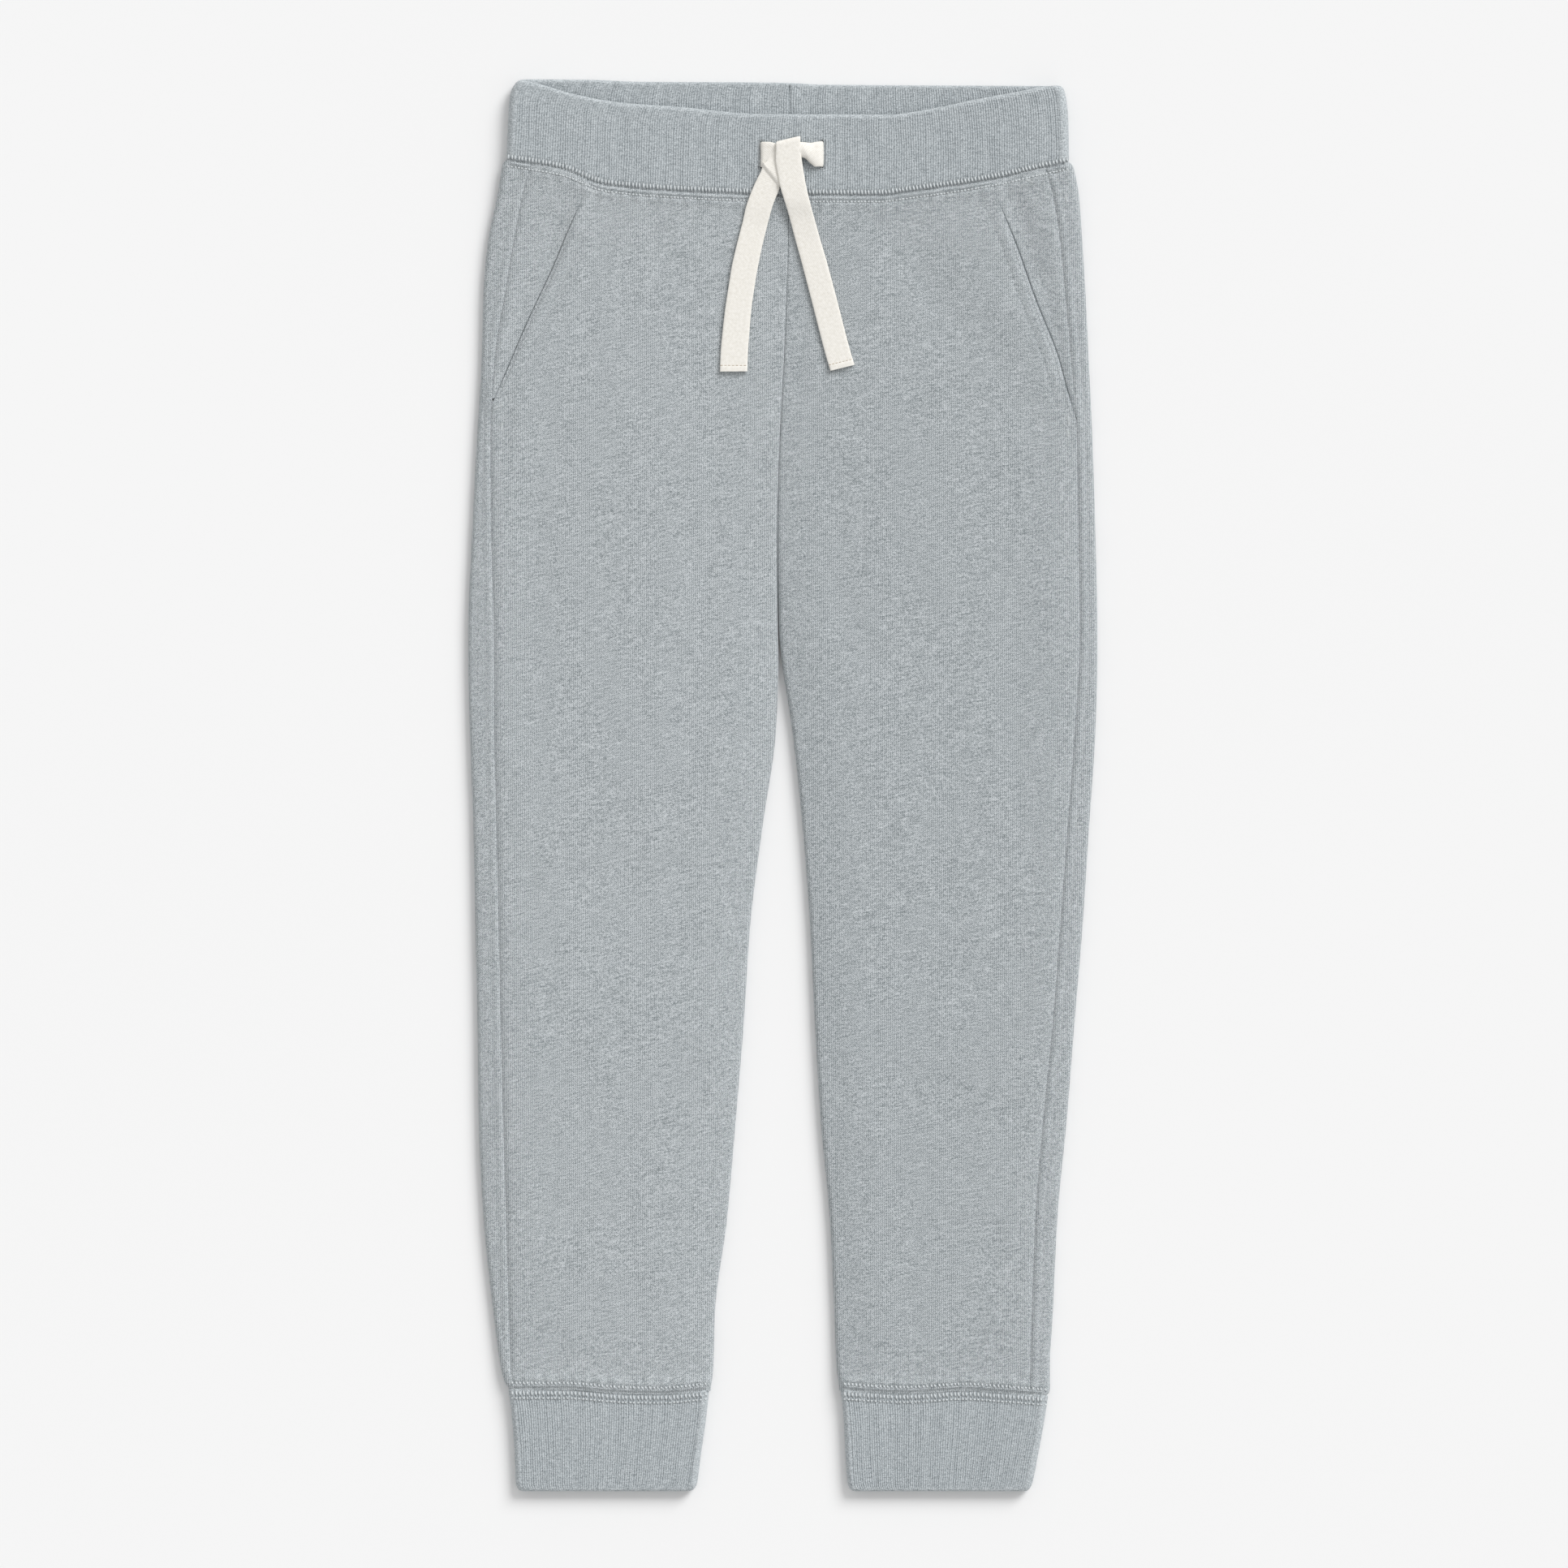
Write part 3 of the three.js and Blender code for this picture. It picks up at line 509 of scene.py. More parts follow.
def graded(*stops):
    """Places from stop to stop, each stop given with the spacing that follows it."""
    runs = [
        np.linspace(start, end, max(1, round(abs(end - start) / step)), endpoint=False)
        for (start, step), (end, _) in zip(stops, stops[1:])
    ]
    return np.concatenate([*runs, [stops[-1][0]]])


# Stations down a leg, closer at its two seams, and shares across its panels
LEG_STATIONS = MM * graded(
    (262, 0.35), (255, 0.55), (248, 1.1), (232, 1.9), (-224, 1.2), (-240, 0.4), (-252, 1)
)
FRONT_SHARES = graded((0, 0.003), (0.009, 0.005), (0.08, 0.0115), (1, 1))
SIDE_SHARES = graded((0, 0.04), (0.12, 0.11), (1, 1))[:-1]
UNDERSIDE_SHARES = graded((0.06, 0.06), (1, 1))
FOLD_TURNS = graded((0, 1 / 12), (1, 1))
ROLL_SHARES = graded((1 / 6, 1 / 6), (1, 1))


def points_of(x, y, z):
    """Grid of points from its coordinates."""
    return np.stack(np.broadcast_arrays(x, y, z), axis=-1)


def roll_start(leg, y):
    """Where a panel starts to roll up or down into the centre or inner edge."""
    edge = line(leg, "inner", y) - leg["inward"] * CENTRE_HALF_GAP
    return edge - leg["inward"] * fold_radius(y) * np.sin(roll_angle(y))


def front_grids(leg):
    """Outer and inner points of a front panel, station by station from its outer edge."""
    station = LEG_STATIONS[:, None]
    x, y = settle(
        lambda at: lerp(front_edge(leg, at), roll_start(leg, at), FRONT_SHARES),
        lambda at: station_y(leg["upper"], station, at),
        station,
    )
    z = front_height(leg, x, y) + fine_creases(leg, x, y) - mouth_press(leg, x, y)
    last = y[:, -1:]
    radius = fold_radius(last)
    raised = front_height(leg, x[:, -1:], last) - 2 * radius
    turned = roll_angle(last) * ROLL_SHARES
    centre = radius + raised * (1 - turned / (math.pi / 2))

    def rolled(r):
        across = roll_start(leg, last) + leg["inward"] * r * np.sin(turned)
        return points_of(across, last, centre + r * np.cos(turned))

    return tuple(
        np.concatenate([points_of(x, y, z - wall), rolled(radius - rim)], axis=1)
        for wall, rim in ((0, 0), (front_wall(leg, x, y), FLEECE_WALL))
    )


def back_grids(leg):
    """Outer and inner points of a back panel: from the side seam round the side fold, along
    the underside and up to the centre or inner edge."""
    inward = leg["inward"]
    station = LEG_STATIONS[:, None]

    def side_fold(y):
        return outer_edge(leg, y) + inward * fold_radius(y)

    def y_upper(x):
        return station_y(leg["upper"], station, x)

    def y_under(x):
        return station_y(leg["under"], station, x)

    x, y = settle(
        lambda at: lerp(line(leg, "seam", at), side_fold(at), SIDE_SHARES), y_upper, station
    )
    z = front_height(leg, x, y) + fine_creases(leg, x, y)
    outer = [points_of(x, y, z)]
    inner = [points_of(x, y, z - FLEECE_WALL)]

    angle = math.pi * FOLD_TURNS
    x, y = settle(
        lambda at: side_fold(at) - inward * fold_radius(at) * np.sin(angle),
        lambda at: lerp(y_upper(at), y_under(at), FOLD_TURNS),
        station,
    )
    radius = fold_radius(y)
    inside = x + inward * FLEECE_WALL * np.sin(angle)
    outer.append(points_of(x, y, radius + radius * np.cos(angle)))
    inner.append(points_of(inside, y, radius + (radius - FLEECE_WALL) * np.cos(angle)))

    x, y = settle(
        lambda at: lerp(side_fold(at), roll_start(leg, at), UNDERSIDE_SHARES), y_under, station
    )
    outer.append(points_of(x, y, 0))
    inner.append(points_of(x, y, FLEECE_WALL))

    last = y[:, -1:]
    radius = fold_radius(last)
    turned = roll_angle(last) * ROLL_SHARES
    for grids, r in ((outer, radius), (inner, radius - FLEECE_WALL)):
        across = roll_start(leg, last) + inward * r * np.sin(turned)
        grids.append(points_of(across, last, radius - r * np.cos(turned)))
    return np.concatenate(outer, axis=1), np.concatenate(inner, axis=1)


# From the side seam at 0 to the pocket mouth at 1, and on to the hidden edge at 2
FACING_SHARES = graded((0, 0.03), (0.09, 0.05), (0.9, 0.008), (1, 0.03), (1.24, 0.15), (2, 1))
FACING_DOWN = graded((0, 0.012), (0.1, 0.016), (1, 1))


def facing_grids(leg):
    """Outer and inner points of a pocket facing: level with the back panel at the side seam,
    and sunk under the front's edge along the mouth."""
    low = pocket_end(leg) + FACING["above"]

    def x_at(y):
        under = leg["inward"] * FACING["underlap"] * np.maximum(FACING_SHARES - 1, 0)
        mouth = read(leg["mouth"], "x", y)
        return lerp(line(leg, "seam", y), mouth, np.minimum(FACING_SHARES, 1)) + under

    def y_at(x):
        return lerp(read(WAIST_SEAM, "y", x) + UNDER_RIM, low, FACING_DOWN[:, None])

    x, y = settle(x_at, y_at, low)
    z = front_height(leg, x, y) + fine_creases(leg, x, y) - facing_sunk(leg, x, y)
    return points_of(x, y, z), points_of(x, y, z - FACING_WALL)


# Small creases that only show close to, each along its own heading
FINE_FOLDS = table("x y heading length width height", [
    [42, 239, 2, 30, 4.5, 0.35],
    [99, 238, -70, 12, 4, -0.4],
    [107, 152, -80, 16, 5, -0.35],
    [-107, 232, 76, 18, 2.6, -0.35],
    [-100, 224, 74, 24, 2.8, 0.3],
    [-94, 226, 72, 20, 2.6, -0.3],
    [-84, 222, 70, 22, 3.4, 0.25],
    [-108, 168, 58, 14, 3.4, 0.3],
    [-116, 150, 84, 18, 3.0, -0.3],
    [-46, 92, 80, 60, 9, 0.3],
    [-30, 60, 64, 34, 6, -0.3],
    [24, 76, -66, 34, 7, -0.3],
    [34, 40, -40, 26, 8, 0.25],
    [-36, 16, 40, 24, 7, 0.25],
    [96, 60, -84, 50, 8, -0.25],
    [-104, 50, 88, 56, 8, -0.3],
    [-50, -168, 78, 40, 8, 0.25],
    [88, -196, 82, 34, 8, -0.25],
    [44, -214, 70, 22, 5, 0.25],
    [-96, -226, 76, 18, 4, -0.25],
    [-56, -236, 84, 14, 3.4, 0.25],
    [70, -236, 88, 13, 3.2, -0.25],
])

# Pinch that each row of sewing presses into the cloth, and the puckers that it draws up
PINCH = mm(depth=0.32, spread=0.75)
SIDE_PINCH = 0.6
RIB_PINCH = mm(depth=0.12, spread=1.1)
PUCKER = mm(height=0.22, pitch=5.2, spread=3.2, from_seam=4)

# Waves of the soft swell, the small creases and the puckers' wander, which is a share of their
# pitch, by their lengths in metres
SWELL = {"height": 0.16 * MM, "waves": (0.021, 0.034, 0.047, 0.029), "seed": 3}
CRINKLE = {"height": 0.05 * MM, "waves": (0.0062, 0.0081, 0.0097, 0.0113), "seed": 8}
WANDER = {"height": 0.3, "waves": (0.017, 0.026), "seed": 5}

# Distances from a folded edge over which creases and sewn relief come in
CREASES_START = 12 * MM
SEWN_START = 2 * MM

# Distance of each row of sewing from its seam
WAIST_ROWS = mm(rib=1.5, fleece=-2.6)
CUFF_ROWS = mm(rib=-4.2, loops=-2.0, fleece=2.2)
SIDE_ROW = 3.7 * MM
MOUTH_ROWS = mm(edge=1.5, inner=6.6)

# The mouth's folded edge is pressed down and thin over a width, and level with the facing near
# the waist
MOUTH_PRESS = mm(
    depth=1.1, round=0.2, round_spread=0.5, width=3.6, fade=30, edge=0.3, edge_fade=2,
    row=0.2, row_fade=10, flush=34, above_facing=0.06,
)

# Narrow dark gap along the pocket mouth, where its facing turns down under the front
MOUTH_SLIT = mm(depth=0.9, width=0.4, fade=14)

# Welt between the waist or cuff seam and its row of sewing, and the one beside the side seam
WELT = mm(height=0.75, from_seam=1.1, spread=0.8)
SIDE_WELT = mm(height=0.18, from_seam=-1.6, spread=1.1)

# Narrow groove along the side seams
GROOVE = mm(depth=0.3, width=0.45)


def welt(sizes, from_seam):
    """Height of a welt at a distance from its seam."""
    return sizes["height"] * bell(from_seam - sizes["from_seam"], sizes["spread"])


def fine_creases(leg, x, y):
    """Swell, small creases, puckers and pinched rows of sewing, still at the folded edges."""
    distance = np.minimum(np.abs(x - line(leg, "outer", y)), np.abs(x - line(leg, "inner", y)))
    swell, small, wander = (
        kind["height"] * waviness(x, y, kind["waves"], kind["seed"])
        for kind in (SWELL, CRINKLE, WANDER)
    )
    from_waist, from_cuff = below_waist(x, y), above_cuff(leg, x, y)
    from_side = leg["inward"] * (x - line(leg, "seam", y))
    puckers = np.sin(2 * math.pi * (x / PUCKER["pitch"] + wander)) * sum(
        bell(seam - PUCKER["from_seam"], PUCKER["spread"]) for seam in (from_waist, from_cuff)
    )
    soft = swell + small + folds_at(FINE_FOLDS, x, y) + PUCKER["height"] * puckers
    pinched = (
        bell(from_waist + WAIST_ROWS["fleece"], PINCH["spread"])
        + bell(from_cuff - CUFF_ROWS["fleece"], PINCH["spread"])
        + SIDE_PINCH * bell(from_side + SIDE_ROW, PINCH["spread"])
    )
    welts = welt(WELT, from_waist) + welt(WELT, from_cuff) + welt(SIDE_WELT, from_side)
    groove = GROOVE["depth"] * np.exp(-np.abs(from_side) / GROOVE["width"])
    sewn = welts - groove - PINCH["depth"] * pinched
    return smooth(distance / CREASES_START) * soft + smooth(distance / SEWN_START) * sewn


def above_end(leg, y, fade):
    """Share that comes in over a distance above the pocket's end."""
    return smooth((y - pocket_end(leg)) / fade)


def apart(x, y):
    """Share of the pocket mouth's depth, which closes up towards the waist seam."""
    return smooth(below_waist(x, y) / MOUTH_PRESS["flush"])


def mouth_edge(leg, x, y, fade):
    """Nearness to the pocket mouth's folded edge, from 1 at the edge to 0 a little inside it,
    fading out over a distance above the pocket's end."""
    inside = inside_mouth(leg, x, y)
    return (1 - smooth(inside / MOUTH_PRESS["width"])) * above_end(leg, y, fade)


def mouth_press(leg, x, y):
    """How far the front is pressed down towards its folded pocket mouth."""
    inside = inside_mouth(leg, x, y)
    row = MOUTH_PRESS["row"] * bell(inside - MOUTH_ROWS["inner"], PINCH["spread"])
    row = row * above_end(leg, y, MOUTH_PRESS["row_fade"])
    rounded = np.exp(-np.maximum(inside, 0) / MOUTH_PRESS["round_spread"])
    pressed = MOUTH_PRESS["depth"] + MOUTH_PRESS["round"] * rounded
    return (pressed * mouth_edge(leg, x, y, MOUTH_PRESS["fade"]) + row) * apart(x, y)


def front_wall(leg, x, y):
    """Thickness of the front, which is pressed thin at the pocket mouth."""
    edge = mouth_edge(leg, x, y, MOUTH_PRESS["edge_fade"])
    return FLEECE_WALL - (FLEECE_WALL - MOUTH_PRESS["edge"]) * edge


def facing_sunk(leg, x, y):
    """How far a pocket facing lies below the cloth round it: nothing at the side seam, just
    under the front from the mouth on, and deeper in the narrow gap along the mouth."""
    seam, mouth = line(leg, "seam", y), read(leg["mouth"], "x", y)
    share = smooth((x - seam) / (mouth - seam) / FACING_SINK)
    wall = front_wall(leg, x, y) * apart(x, y) + MOUTH_PRESS["above_facing"]
    slit = np.exp(-np.abs(inside_mouth(leg, x, y)) / MOUTH_SLIT["width"])
    slit = MOUTH_SLIT["depth"] * slit * above_end(leg, y, MOUTH_SLIT["fade"]) * apart(x, y)
    return (mouth_press(leg, x, y) + wall) * share + slit


# Meshes


def grid_quads(ids):
    """Faces of a grid of vertices."""
    corners = [ids[:-1, :-1], ids[1:, :-1], ids[1:, 1:], ids[:-1, 1:]]
    return np.stack(corners, axis=-1).reshape(-1, 4)


def strip_quads(a, b):
    """Faces between two lines of vertices."""
    return np.stack([a[:-1], a[1:], b[1:], b[:-1]], axis=-1)


def shell(outer, inner):
    """Closed wall between two grids of points, joined along all four edges."""
    rows, columns = outer.shape[:2]
    points = np.concatenate([outer.reshape(-1, 3), inner.reshape(-1, 3)])
    top, under = np.arange(len(points)).reshape(2, rows, columns)
    faces = np.concatenate([
        grid_quads(top),
        grid_quads(under)[:, ::-1],
        strip_quads(top[0], under[0]),
        strip_quads(under[-1], top[-1]),
        strip_quads(under[:, 0], top[:, 0]),
        strip_quads(top[:, -1], under[:, -1]),
    ])
    return points, faces


def ring(grid):
    """Closed wall through a grid of points that joins up with itself both ways."""
    rows, columns = grid.shape[:2]
    ids = np.arange(rows * columns).reshape(rows, columns)
    ids = np.concatenate([ids, ids[:1]])
    ids = np.concatenate([ids, ids[:, :1]], axis=1)
    return grid.reshape(-1, 3), grid_quads(ids)


def signed_volume(points, faces):
    """Volume inside the faces, below zero where they point inwards."""
    a, b, c, d = (points[faces[:, i]] for i in range(4))
    halves = np.einsum("ij,ij->i", a, np.cross(b, c)) + np.einsum("ij,ij->i", a, np.cross(c, d))
    return halves.sum() / 6


# Edges that bend by less than this are shaded smooth
SMOOTH_ANGLE = math.radians(50)


def deselect_all():
    """Nothing selected, so that an operator acts on its own piece alone."""
    for other in bpy.context.view_layer.objects:
        other.select_set(False)


def add_piece(name, points, faces, material, uv=None):
    """Mesh object at the origin that rides on the one body, with its faces pointing out."""
    if signed_volume(points, faces) < 0:
        faces = faces[:, ::-1]
    mesh = bpy.data.meshes.new(name)
    mesh.from_pydata(points.tolist(), [], faces.tolist())
    mesh.materials.append(material)
    if uv is not None:
        layer = mesh.uv_layers.new(name="UVMap")
        layer.data.foreach_set("uv", uv[faces.ravel()].ravel())
    piece = bpy.data.objects.new(name, mesh)
    bpy.context.scene.collection.objects.link(piece)
    deselect_all()
    piece.select_set(True)
    bpy.context.view_layer.objects.active = piece
    bpy.ops.object.shade_smooth_by_angle(angle=SMOOTH_ANGLE)
    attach(piece, "root")
    return piece


# Rib tubes

# Steps for each rib on both layers, for the plain under layer of a cuff, and round a side fold
RIB_STEPS = 5
UNDER_RIB_STEPS = 3
UNDER_STEPS = 24
TUBE_FOLD_STEPS = 12

# Shares along a tube from its seam to its free edge, and turns round its rims
CUFF_ALONG = graded((0.028, 0.016), (0.11, 0.08), (0.89, 0.016), (0.972, 1))
BAND_ALONG = graded(
    (0.045, 0.019), (0.14, 0.08), (0.3, 0.018), (0.354, 0.15), (0.64, 0.018), (0.7, 0.09),
    (0.88, 0.02), (0.955, 1),
)
RIM_TURNS = graded((0, math.pi / 6), (math.pi, 1))[1:-1]

# Seam down the inside of the waistband's back
BACK_SEAM = mm(depth=0.7, spread=0.55)

# Slow drift of the ribs, the shallowest of their hollows, and how narrow the hollows are
RIB_DRIFT = {"size": 0.12, "along": 1.3, "across": 0.07}
SHALLOWEST = 0.62
NARROWNESS = 3


def rib_profile(along_shares, rim):
    """Shares along and into the wall of a rib tube's section, round both its edges."""
    over = 1 - rim * (1 - np.sin(RIM_TURNS))
    under = rim * (1 - np.sin(RIM_TURNS))
    into = (1 - np.cos(RIM_TURNS)) / 2
    along = np.concatenate([along_shares, over, along_shares[::-1], under])
    depth = np.concatenate([0 * along_shares, into, 0 * along_shares + 1, into[::-1]])
    return along, depth


def edge_relief(along):
    """The rib tubes' edges round over a little, at the seam and at the free edge."""
    return -RIB_EDGE_DROP * (1 - smooth(np.minimum(along, 1 - along) / RIB_MARGIN))


def rib_tube(tube, pitch, depth):
    """Points of a flattened rib tube, with ribs over its upper side and, where the tube says
    so, over the inside of its under layer."""
    along, into = (values[:, None] for values in rib_profile(tube["along"], tube["rim"]))
    radius = tube["height"] / 2
    wall = tube["wall"] * into
    left = read(tube["sides"], "left", tube["upper_y"](tube["left_x"], along)) + radius
    right = read(tube["sides"], "right", tube["upper_y"](tube["right_x"], along)) - radius
    ribs = round((tube["right_x"] - tube["left_x"] - 2 * radius) / pitch)
    from_seam = np.abs(along * (tube["free_y"] - tube["seam_y"]))
    pinched = sum(bell(from_seam - row, RIB_PINCH["spread"]) for row in tube["rows"])
    lift = edge_relief(along) - RIB_PINCH["depth"] * pinched

    across = np.arange(ribs * RIB_STEPS) / (ribs * RIB_STEPS)
    x = lerp(left, right, across)
    sunk = depth * rib_hollow(across * ribs, along, tube["seed"]) * (1 - into)
    y = tube["upper_y"](x, along)
    hole = sum(slot_depth(x, y, slot) for slot in tube["holes"]) * (into == 0)
    upper = points_of(x, y, tube["height"] - wall + lift * (1 - into) - sunk - hole)

    under_ribs = ribs * UNDER_RIB_STEPS if tube["ribs_inside"] else UNDER_STEPS
    back = np.arange(under_ribs) / under_ribs
    x = lerp(right, left, back)
    carved = depth * rib_hollow(back * ribs, along, tube["seed"] + 1) * tube["ribs_inside"]
    carved = carved + sum(
        BACK_SEAM["depth"] * bell(x - seam, BACK_SEAM["spread"]) for seam in tube["seams"]
    )
    under = points_of(x, tube["under_y"](x, along), wall - carved * (into == 1))

    def fold(centre, side, turns):
        angle = math.pi * turns
        edge_x = centre + side * radius * np.sin(angle)
        y = lerp(tube["upper_y"](edge_x, along), tube["under_y"](edge_x, along), turns)
        x = centre + side * (radius - wall) * np.sin(angle)
        raised = (1 - into) * lift * (1 + np.cos(angle)) / 2
        return points_of(x, y, radius + (radius - wall) * np.cos(angle) + raised)

    turns = np.arange(TUBE_FOLD_STEPS) / TUBE_FOLD_STEPS
    return np.concatenate([upper, fold(right, 1, turns), under, fold(left, -1, 1 - turns)], axis=1)


def rib_hollow(rib, along, seed):
    """How far a place lies in the hollow between two ribs, from 0 to 1, at a place counted in
    ribs: round crests with narrow hollows, each a little unlike its neighbours."""
    rng = np.random.default_rng(seed)
    count = int(np.ceil(rib.max())) + 1
    turns = RIB_DRIFT["along"] * along + RIB_DRIFT["across"] * rib
    place = rib + RIB_DRIFT["size"] * np.sin(2 * math.pi * turns)
    nearest = np.clip(np.round(place).astype(int), 0, count)
    depths = lerp(SHALLOWEST, 1, rng.random(count + 1))
    shape = np.abs(np.cos(math.pi * place)) ** NARROWNESS
    fade = smooth(along / RIB_MARGIN) * smooth((1 - along) / RIB_MARGIN)
    return shape * depths[nearest] * fade


def slot_depth(x, y, slot):
    """Depth of a buttonhole's slot at a place on the waistband."""
    from_side = BUTTONHOLE["width"] / 2 - np.abs(x - slot["x"])
    from_end = BUTTONHOLE["length"] / 2 - np.abs(y - slot["y"])
    side = smooth(from_side / BUTTONHOLE["side_slope"])
    end = smooth(from_end / BUTTONHOLE["end_slope"])
    return BUTTONHOLE["depth"] * side * end


def band_y(seam, top):
    """Place along the waistband between its seam and its top edge."""
    return lambda x, along: lerp(read(seam, "y", x), read(top, "y", x), along)


def cuff_y(seam):
    """Place along a cuff between its seam and its hem."""
    return lambda x, along: lerp(read(seam, "y", x), CUFF_HEM, along)


BAND = {
    "sides": BAND_SIDES,
    "left_x": BAND_SIDES["left"][0],
    "right_x": BAND_SIDES["right"][0],
    "height": BAND_HEIGHT,
    "wall": BAND_WALL,
    "upper_y": band_y(WAIST_SEAM, FRONT_TOP),
    "under_y": band_y(straight(WAIST_SEAM), BACK_TOP),
    "along": BAND_ALONG,
    "rim": 0.045,
    "seam_y": 0.2475,
    "free_y": 0.2815,
    "rows": (WAIST_ROWS["rib"],),
    "holes": (LEFT_BUTTONHOLE, RIGHT_BUTTONHOLE),
    "ribs_inside": 1,
    "seams": (2.7 * MM,),
    "seed": 11,
}


def cuff_tube(sides, seam, seed):
    """One cuff as a rib tube."""
    return {
        "sides": sides,
        "left_x": sides["left"][-1],
        "right_x": sides["right"][-1],
        "height": CUFF_HEIGHT,
        "wall": CUFF_WALL,
        "upper_y": cuff_y(seam),
        "under_y": cuff_y(straight(seam)),
        "along": CUFF_ALONG,
        "rim": 0.028,
        "seam_y": CUFF_STATION,
        "free_y": CUFF_HEM,
        "rows": (-CUFF_ROWS["rib"],),
        "holes": (),
        "ribs_inside": 0,
        "seams": (),
        "seed": seed,
    }


CUFFS = {
    "left": cuff_tube(LEFT_CUFF, LEFT_CUFF_SEAM, 21),
    "right": cuff_tube(RIGHT_CUFF, RIGHT_CUFF_SEAM, 31),
}

# Drawstring


def resting_height(x, y):
    """Highest cloth near a place on the front, which the tape rests on."""
    def at(v):
        on_left = front_height(LEFT, x, v)
        on_leg = np.where(x < read(LEFT_LEG, "inner", v), on_left, front_height(RIGHT, x, v))
        return np.where(v > read(WAIST_SEAM, "y", x), BAND_HEIGHT, on_leg)

    return np.maximum(np.maximum(at(y - TAPE_REACH), at(y)), at(y + TAPE_REACH))


def tape_steps(rows, hole):
    """Centres, widths and curls of a tape's sections, from its buttonhole to its free end."""
    half = TAPE["thickness"] / 2
    level = BAND_HEIGHT + TAPE["clearance"] + half
    upright = (0, BUTTONHOLE["length"] - 2 * BUTTONHOLE["clearance"], 0)
    centres = [(hole["x"], hole["y"], BAND_HEIGHT - TAPE["sunk"])]
    for angle in (0, math.pi / 4):
        x = hole["x"] + hole["turn"] * TAPE["bend"] * (1 - math.cos(angle))
        centres.append((x, hole["y"], level - TAPE["bend"] * (1 - math.sin(angle))))
    rise = TAPE["clearance"] + half + rows["lift"]
    near = points_of(rows["x"], rows["y"], resting_height(rows["x"], rows["y"]) + rise)
    far = points_of(rows["x2"], rows["y2"], resting_height(rows["x2"], rows["y2"]) + rise)
    return (
        np.concatenate([centres, (near + far) / 2]),
        np.concatenate([[upright] * len(centres), far - near]),
        np.radians(np.concatenate([[CURL_AT_HOLE] * len(centres), rows["curl"]]))[:, None],
    )


def along_curve(values, keys, at):
    """Values at places between the keys, along a smooth curve."""
    slopes = np.diff(values, axis=0) / np.diff(keys)[:, None]
    tangents = np.concatenate([slopes[:1], (slopes[:-1] + slopes[1:]) / 2, slopes[-1:]])
    return hermite(keys, values, tangents, at)


# Width of the tape, its sections along and across, and every how many the cord's path takes one
TAPE_WIDTH = 11 * MM
TAPE_SPACING = 0.5 * MM
TAPE_ACROSS = np.sin(graded((-math.pi / 2, math.pi / 22), (math.pi / 2, 1)))

# Share of the thickness at the tape's edges, the rest of it, and how late it thins out
TAPE_EDGE = {"thin": 0.35, "rest": 0.65, "power": 9}

# Curl at the buttonhole and the least curl, in degrees, how flat the curls lie, and what they
# take off the width
CURL_AT_HOLE = 16
LEAST_CURL = 1
CURL_SQUASH = 0.45
CURL_TAKES = 0.6 * MM

# Folded hem at the free end, with its row of stitches
HEM = {**mm(length=2.5, step=0.4, proud=0.02), "thicker": 0.45, "stitches": 7, "share": 0.7}


def tape_grids(rows, hole):
    """Upper and lower points of a tape, its texture places and its middle line."""
    centres, widths, curls = tape_steps(rows, hole)
    keys = np.concatenate([[0], np.cumsum(np.linalg.norm(np.diff(centres, axis=0), axis=1))])
    at = np.linspace(0, keys[-1], round(keys[-1] / TAPE_SPACING) + 1)
    middle = along_curve(centres, keys, at)
    width = along_curve(widths, keys, at)
    curl = np.maximum(along_curve(curls, keys, at), math.radians(LEAST_CURL))
    reach = np.linalg.norm(width, axis=1)[:, None]
    sideways = (width / reach)[:, None]
    normal = np.cross(width, np.gradient(middle, axis=0))
    normal = (normal / np.linalg.norm(normal, axis=1)[:, None])[:, None]

    hem = smooth((at - keys[-1] + HEM["length"]) / HEM["step"])[:, None]
    full = np.sqrt(1 - np.abs(TAPE_ACROSS) ** TAPE_EDGE["power"])
    thickness = TAPE["thickness"] / 2 * (TAPE_EDGE["thin"] + TAPE_EDGE["rest"] * full)
    thickness = (thickness * (1 + HEM["thicker"] * hem))[..., None]
    turn = curl * TAPE_ACROSS / 2
    radius = np.maximum(reach, TAPE_WIDTH - CURL_TAKES) / curl
    rise = CURL_SQUASH * radius * (np.cos(turn) - np.cos(curl / 2))
    spread = (
        middle[:, None]
        + sideways * (radius * np.sin(turn))[..., None]
        + normal * rise[..., None]
    )
    bulge = (sideways * np.sin(turn)[..., None] + normal * np.cos(turn)[..., None]) * thickness
    uv = np.stack(np.broadcast_arrays(TAPE_ACROSS * reach / 2, at[:, None]), axis=-1)
    return spread + bulge, spread - bulge, np.concatenate([uv.reshape(-1, 2)] * 2), middle


# Sewing

# A thread's sides, and its thickness and how far it has dived into the cloth, ring by ring, which
# sets the painted shade of its ends
THREAD_SIDES = 5
THREAD_TAPER = np.array([0.55, 0.95, 1.0, 0.95, 0.55])
THREAD_TIP_SHADE = np.array([1.0, 0.25, 0.0, 0.25, 1.0])
CAP_CORNERS = ([0, 1, 2, 2], [0, 2, 3, 4])

# Unevenness of the stitches, as a share of their pitch and length
UNEVEN = 0.12


